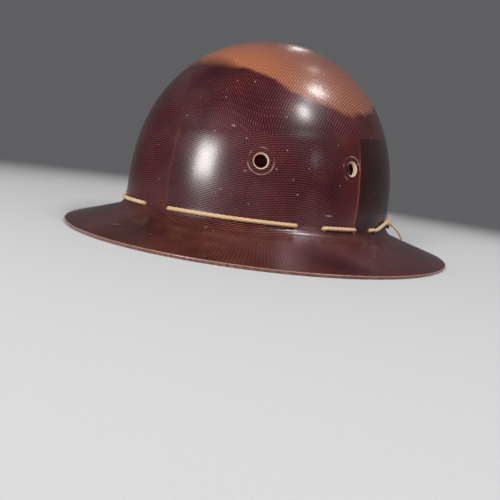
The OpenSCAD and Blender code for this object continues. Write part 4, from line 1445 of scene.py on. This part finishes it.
def nape_line(step=0.0012):
    """Points and outward directions of the nape strap's middle, from its riveted end to its tip."""
    b, c = band(), cradle()
    end_c, side_r, side_c, turn = band_arcs()
    clear = b.buckle_t + 2 * b.run_gap
    level, rise = 3.0, 13.0
    a = np.arange(-b.root_angle, 90 - math.degrees(turn), math.degrees(step / b.end_r))
    t = np.clip((a - b.buckle_from + level + rise) / rise, 0, 1)
    off = c.soft_gap + (clear - c.soft_gap) * t * t * (3 - 2 * t)
    a = np.radians(a)
    out = np.stack([np.sin(a), np.cos(a), 0 * a], 1)
    r = b.end_r + off + b.nape_t / 2
    points = np.array([0, end_c, 0]) + r[:, None] * out
    a = np.linspace(turn, turn - b.tail / side_r, round(b.tail / step) + 1)
    tail = np.stack([np.cos(a), np.sin(a), 0 * a], 1)
    tail_points = np.array([-side_c, 0, 0]) + (side_r + clear + b.nape_t / 2) * tail
    points = np.vstack([points, tail_points]) + [0, -shell().crown_forward, b.band_z + b.nape_up]
    return points, np.vstack([out, tail])


def build_nape_strap():
    """The leather nape strap with creased edges, a square root and a rounded tip."""
    b = band()
    points, outs = nape_line()
    run = run_along(points)
    section = ribbon_section(b.nape_w, b.nape_t, 17, crease=0.22)
    tip = np.sqrt(np.clip(1 - np.clip(1 - (run[-1] - run) / 0.006, 0, 1) ** 2, 0.02, 1))
    root = np.sqrt(np.clip(1 - np.clip(1 - run / 0.0015, 0, 1) ** 2, 0.5, 1))
    rings = []
    for p, out, scale in zip(points, outs, tip * root):
        rings.append(p + np.outer(section[:, 1], out) + np.outer(section[:, 0] * scale, [0, 0, 1]))
    piece = loft_piece(rings, "nape_leather")
    leather = leather_material("strap_leather", b.strap, 1500)
    finish_piece(piece, "nape_leather", leather, "nape_strap", angle=60)


def dress_node(node, name, material, bevel, body=BODY):
    """Replaces a CAD node by a copy of it whose edges are eased."""
    piece = new_piece(name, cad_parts[node].data.copy())
    bpy.ops.object.mode_set(mode="EDIT")
    bpy.ops.mesh.select_all(action="SELECT")
    bpy.ops.mesh.remove_doubles(threshold=0.000002)
    bpy.ops.mesh.dissolve_limited(angle_limit=math.radians(0.4))
    bpy.ops.object.mode_set(mode="OBJECT")
    limit = {"limit_method": "ANGLE", "angle_limit": math.radians(32), "use_clamp_overlap": True}
    apply_modifier(piece, "BEVEL", width=bevel, segments=2, **limit)
    return finish_piece(piece, name, material, node, body=body, angle=35)


def build_fittings():
    """The fibre headband, the keeper, and the brass and steel hardware."""
    b = band()
    fibre, brass = fibre_material(), metal("brass", b.brass, 0.24)
    steel = metal("steel", b.steel, 0.22)
    keeper = leather_material("keeper_leather", toned(b.strap, 0.8), 1500)
    dress_node("headband", "fibre_band", fibre, 0.00035)
    dress_node("strap_rivets", "brass_rivets", brass, 0.00014)
    dress_node("nape_rivets", "nape_brass_rivets", brass, 0.00014)
    dress_node("buckle_rivets", "buckle_brass_rivets", brass, 0.00014)
    dress_node("buckle_base", "buckle_plate", steel, 0.00016)
    dress_node("buckle_pin", "buckle_hinge_pin", steel, 0.0002)
    dress_node("buckle_lever", "buckle_cam_lever", steel, 0.0002, body="lever")
    dress_node("strap_keeper", "keeper_loop", keeper, 0.0002, body="keeper")


# Materials of the inside


def webbing_material():
    """Ribbed cotton webbing, from the strap's own along and across."""
    n = Nodes("cotton_webbing")
    along, across = n.attribute("along"), n.attribute("across")
    ribs = n.sine(n.times(along, 2 * math.pi / 0.001))
    shift = n.times(n.sine(n.times(along, math.pi / 0.001)), 1.57)
    cords = n.sine(n.madd(across, 2 * math.pi / 0.0013, shift))
    fuzz = n.noise(2400, 3)
    height = n.madd(cords, 0.5, n.madd(ribs, 0.5, fuzz))
    soil = n.step(n.noise(55, 4), 0.5, 0.8)
    base = tuple(cradle().webbing)
    # Darker where the cloth lies low between cords and ribs: painted shade
    colour = n.mix(n.step(height, -0.4, 1.2), toned(base, 0.55), base)
    colour = n.mix(n.times(soil, 0.5), colour, (0.42, 0.34, 0.24))
    half = cradle().strap_w / 2
    edge = n.step(n.math("ABSOLUTE", across), half - 0.0016, half - 0.0013)
    colour = n.mix(n.times(edge, 0.35), colour, (0.80, 0.76, 0.66))
    n.sets(Base_Color=colour, Roughness=0.85, Sheen_Weight=0.25, Sheen_Roughness=0.5)
    n.bump(height, 0.00012)
    return n.material


def thread_material(name, colour):
    n = Nodes(name)
    fibre = n.noise(3200, 2)
    n.sets(Base_Color=n.mix(fibre, toned(colour, 0.6), tuple(colour)), Roughness=0.6, Sheen_Weight=0.15)
    n.bump(fibre, 0.00005)
    return n.material


def leather_material(name, colour, grain, pores=False):
    """Tanned leather with a fine grain, darker folds and, where asked, rows of punched pores."""
    n = Nodes(name)
    at = n.vector("ADD", n.place, n.vector("SCALE", n.noise(300, 2, out=1), 0.001))
    grain_height = n.step(n.cells(at, float(grain), "DISTANCE_TO_EDGE").outputs["Distance"], 0.0, 0.22)
    cloud, fine = n.noise(60, 5, 0.6), n.noise(1800, 2)
    dark, light = toned(colour, 0.55), tuple(min(1, 1.25 * v) for v in colour)
    shade = n.madd(grain_height, 0.45, n.times(cloud, 0.65))
    tone = n.mix(shade, dark, light)
    height = n.madd(fine, 0.3, grain_height)
    if pores:
        holes = n.cells(n.place, 260.0)
        n.put(holes.inputs["Randomness"], 0.15)
        hole = n.flip(n.step(holes.outputs["Distance"], 0.10, 0.15))
        tone = n.mix(hole, tone, toned(colour, 0.2))
        height = n.madd(hole, -3.0, height)
    n.sets(Base_Color=tone, Roughness=n.madd(cloud, 0.25, 0.38), Specular_IOR_Level=0.4)
    n.bump(height, 0.00008)
    return n.material


def fibre_material():
    """Dark vulcanised fibre with a pressed, slightly mottled face."""
    n = Nodes("vulcanised_fibre")
    mottle, fine = n.noise(90, 5, 0.65), n.noise(1500, 3)
    base = tuple(band().fibre)
    tone = n.mix(mottle, toned(base, 0.6), toned(base, 1.5))
    n.sets(Base_Color=tone, Roughness=n.madd(mottle, 0.2, 0.42))
    n.bump(n.plus(fine, mottle), 0.00005)
    return n.material


# Stage

# Millimetres and degrees, with the focal length in pixels of a frame 500 wide
CAMERA = {
    "distance": 410.0,
    "azimuth": 54.03,
    "elevation": 9.84,
    "roll": 8.1,
    "focal": 466.8,
    "right": 11.07,
    "up": 13.16,
}
FRAME_PIXELS = 500
SENSOR = 36


def camera_rotation():
    a, e, r = (math.radians(CAMERA[k]) for k in ("azimuth", "elevation", "roll"))
    back = np.array([math.sin(a) * math.cos(e), -math.cos(a) * math.cos(e), math.sin(e)])
    right = heading(a)
    rows = np.stack([right, np.cross(back, right), back])
    c, s = math.cos(r), math.sin(r)
    return np.array([[c, s, 0], [-s, c, 0], [0, 0, 1]]) @ rows


def build_camera():
    rows, c = camera_rotation(), CAMERA
    place = rows.T @ np.array([-c["right"], -c["up"], c["distance"]]) * MM
    clear_selection()
    bpy.ops.object.camera_add(location=tuple(place))
    camera = bpy.context.object
    camera.rotation_euler = Matrix(rows.T.tolist()).to_euler()
    camera.data.sensor_width = SENSOR
    camera.data.lens = c["focal"] * SENSOR / FRAME_PIXELS
    camera.data.clip_start = 0.01
    camera.data.dof.use_dof = False
    bpy.context.scene.camera = camera


# Name, azimuth and elevation in degrees, distance, width and height in metres, and watts
LAMPS = (
    ("front_window", -66, 16, 1.3, 0.34, 0.38, 16),
    ("rear_lamp", 53, 57, 1.4, 0.23, 0.20, 4.6),
    ("rear_side_lamp", 21, 48, 1.4, 0.10, 0.19, 5.0),
    ("fillet_lamp", 97, 60, 1.4, 0.09, 0.12, 0.3),
    ("brim_lamp", 136.5, 41, 1.4, 0.07, 0.16, 0.3),
    ("side_lamp", 22, 20, 1.6, 0.07, 0.12, 0.4),
)
LAMP_AIM = (0.05, -0.03, 0.08)


def add_lamp(name, azimuth, elevation, distance, width, height, watts):
    a, e = math.radians(azimuth), math.radians(elevation)
    way = np.array([math.cos(a) * math.cos(e), math.sin(a) * math.cos(e), math.sin(e)])
    clear_selection()
    bpy.ops.object.light_add(type="AREA", location=tuple(np.array(LAMP_AIM) + way * distance))
    lamp = bpy.context.object
    lamp.name = name
    lamp.rotation_euler = facing(way)
    lamp.data.shape = "RECTANGLE"
    lamp.data.size, lamp.data.size_y = width, height
    lamp.data.energy = watts
    lamp.visible_camera = False


# Light shown behind the part, from above on it, and from the paper under it
BACKDROP = (0.115, 0.115, 0.12)
SOFT = (0.42, 0.42, 0.425)
BOUNCE = (0.70, 0.70, 0.695)
FLOOR_SIZE = 6
FLOOR_FADE = (0.3, 0.9)


def sight(tree):
    """1 for rays from the camera, from a mirror or through glass."""
    rays = tree.nodes.new("ShaderNodeLightPath")
    best = rays.outputs["Is Camera Ray"]
    for kind in ("Is Glossy Ray", "Is Transmission Ray"):
        node = tree.nodes.new("ShaderNodeMath")
        node.operation = "MAXIMUM"
        tree.links.new(best, node.inputs[0])
        tree.links.new(rays.outputs[kind], node.inputs[1])
        best = node.outputs[0]
    return best


def blend_shaders(n, factor, a, b):
    node = n.add("ShaderNodeMixShader")
    n.put(node.inputs[0], factor)
    n.tree.links.new(a, node.inputs[1])
    n.tree.links.new(b, node.inputs[2])
    return node.outputs[0]


def floor_material():
    """Pale paper that fades into the backdrop's tone, open from below and to light sent on by the part."""
    n = Nodes("floor_paper")
    n.sets(Base_Color=n.mix(n.noise(900, 2), (0.53, 0.53, 0.535), (0.57, 0.57, 0.575)))
    n.sets(Roughness=0.9, Specular_IOR_Level=0.1)
    glow, gap = n.add("ShaderNodeEmission"), n.add("ShaderNodeBsdfTransparent")
    n.put(glow.inputs["Color"], BACKDROP)
    far = n.step(n.vector("LENGTH", n.place), *FLOOR_FADE)
    seen = blend_shaders(n, n.times(far, sight(n.tree)), n.shader.outputs[0], glow.outputs[0])
    behind = n.add("ShaderNodeNewGeometry").outputs["Backfacing"]
    bounced = n.add("ShaderNodeLightPath").outputs["Is Diffuse Ray"]
    is_open = n.most(behind, bounced)
    n.tree.links.new(blend_shaders(n, is_open, seen, gap.outputs[0]), n.output.inputs["Surface"])
    return n.material


def build_world():
    """Soft light from above, the paper's bounce from below, and a backdrop of one plain tone."""
    scene = bpy.context.scene
    scene.world = scene.world or bpy.data.worlds.new("studio")
    scene.world.use_nodes = True
    tree = scene.world.node_tree
    tree.nodes.clear()
    kinds = ("Background", "Background", "TexCoord", "SeparateXYZ", "Math", "Mix", "MixShader", "OutputWorld")
    soft, shown, way, height, upward, tone, mix, out = (tree.nodes.new(f"ShaderNode{kind}") for kind in kinds)
    upward.operation = "GREATER_THAN"
    tone.data_type = "RGBA"
    upward.inputs[1].default_value = 0.0
    tone.inputs[6].default_value = (*BOUNCE, 1)
    tone.inputs[7].default_value = (*SOFT, 1)
    shown.inputs["Color"].default_value = (*BACKDROP, 1)
    for start, end in (
        (way.outputs["Generated"], height.inputs[0]),
        (height.outputs["Z"], upward.inputs[0]),
        (upward.outputs[0], tone.inputs["Factor"]),
        (tone.outputs[2], soft.inputs["Color"]),
        (sight(tree), mix.inputs[0]),
        (soft.outputs[0], mix.inputs[1]),
        (shown.outputs[0], mix.inputs[2]),
        (mix.outputs[0], out.inputs["Surface"]),
    ):
        tree.links.new(start, end)


def build_stage():
    clear_selection()
    bpy.ops.mesh.primitive_plane_add(size=FLOOR_SIZE, location=(0, 0, 0))
    floor = bpy.context.object
    floor.name = "floor"
    floor.data.materials.append(floor_material())
    build_world()
    for lamp in LAMPS:
        add_lamp(*lamp)
    bpy.context.scene.view_settings.view_transform = "Standard"
    build_camera()


# Operators


class HELMET_OT_shell(bpy.types.Operator):
    """Makes the moulded laminate shell with its lace holes and vents"""

    bl_idname = "helmet.shell"
    bl_label = "Shell"

    def execute(self, context):
        build_shell()
        return {"FINISHED"}


class HELMET_OT_lace(bpy.types.Operator):
    """Makes the braided lace through the base of the crown"""

    bl_idname = "helmet.lace"
    bl_label = "Lace"

    def execute(self, context):
        build_lace()
        return {"FINISHED"}


class HELMET_OT_knot(bpy.types.Operator):
    """Makes the lace's knot and its two tails"""

    bl_idname = "helmet.knot"
    bl_label = "Lace knot"

    def execute(self, context):
        build_knot()
        return {"FINISHED"}


class HELMET_OT_straps(bpy.types.Operator):
    """Makes the cradle's four webbing straps and their stitching"""

    bl_idname = "helmet.straps"
    bl_label = "Cradle straps"

    def execute(self, context):
        build_straps()
        return {"FINISHED"}


class HELMET_OT_pad(bpy.types.Operator):
    """Makes the quilted crown pad"""

    bl_idname = "helmet.pad"
    bl_label = "Crown pad"

    def execute(self, context):
        build_pad()
        return {"FINISHED"}


class HELMET_OT_lining(bpy.types.Operator):
    """Makes the leather sweatband"""

    bl_idname = "helmet.lining"
    bl_label = "Sweatband"

    def execute(self, context):
        build_lining()
        return {"FINISHED"}


class HELMET_OT_nape(bpy.types.Operator):
    """Makes the leather nape strap"""

    bl_idname = "helmet.nape"
    bl_label = "Nape strap"

    def execute(self, context):
        build_nape_strap()
        return {"FINISHED"}


class HELMET_OT_fittings(bpy.types.Operator):
    """Makes the headband, the keeper, the rivets and the buckle"""

    bl_idname = "helmet.fittings"
    bl_label = "Headband and fittings"

    def execute(self, context):
        build_fittings()
        return {"FINISHED"}


class HELMET_OT_stage(bpy.types.Operator):
    """Makes the floor, the lamps and the camera"""

    bl_idname = "helmet.stage"
    bl_label = "Stage"

    def execute(self, context):
        build_stage()
        return {"FINISHED"}


class HELMET_PT_panel(bpy.types.Panel):
    """Lists the helmet's pieces and sizes"""

    bl_idname = "HELMET_PT_panel"
    bl_label = "Safety Helmet"
    bl_space_type = "VIEW_3D"
    bl_region_type = "UI"
    bl_category = "Helmet"

    def draw(self, context):
        for step in STEPS:
            self.layout.operator(f"helmet.{step}")
        for part, group in SETTINGS.items():
            box = self.layout.box()
            for name in group.__annotations__:
                box.prop(getattr(context.scene, f"helmet_{part}"), name)


STEPS = ("stage", "shell", "lace", "knot", "straps", "pad", "lining", "nape", "fittings")
SETTINGS = {"shell": ShellSettings, "lace": LaceSettings, "cradle": CradleSettings, "band": HeadbandSettings}
CLASSES = (
    *SETTINGS.values(),
    HELMET_OT_shell,
    HELMET_OT_lace,
    HELMET_OT_knot,
    HELMET_OT_straps,
    HELMET_OT_pad,
    HELMET_OT_lining,
    HELMET_OT_nape,
    HELMET_OT_fittings,
    HELMET_OT_stage,
    HELMET_PT_panel,
)


def register():
    for cls in CLASSES:
        bpy.utils.register_class(cls)
    for name, group in SETTINGS.items():
        setattr(bpy.types.Scene, f"helmet_{name}", PointerProperty(type=group))


def unregister():
    for name in SETTINGS:
        delattr(bpy.types.Scene, f"helmet_{name}")
    for cls in reversed(CLASSES):
        bpy.utils.unregister_class(cls)


def main():
    register()
    for step in STEPS:
        getattr(bpy.ops.helmet, step)()


if __name__ == "__main__":
    main()
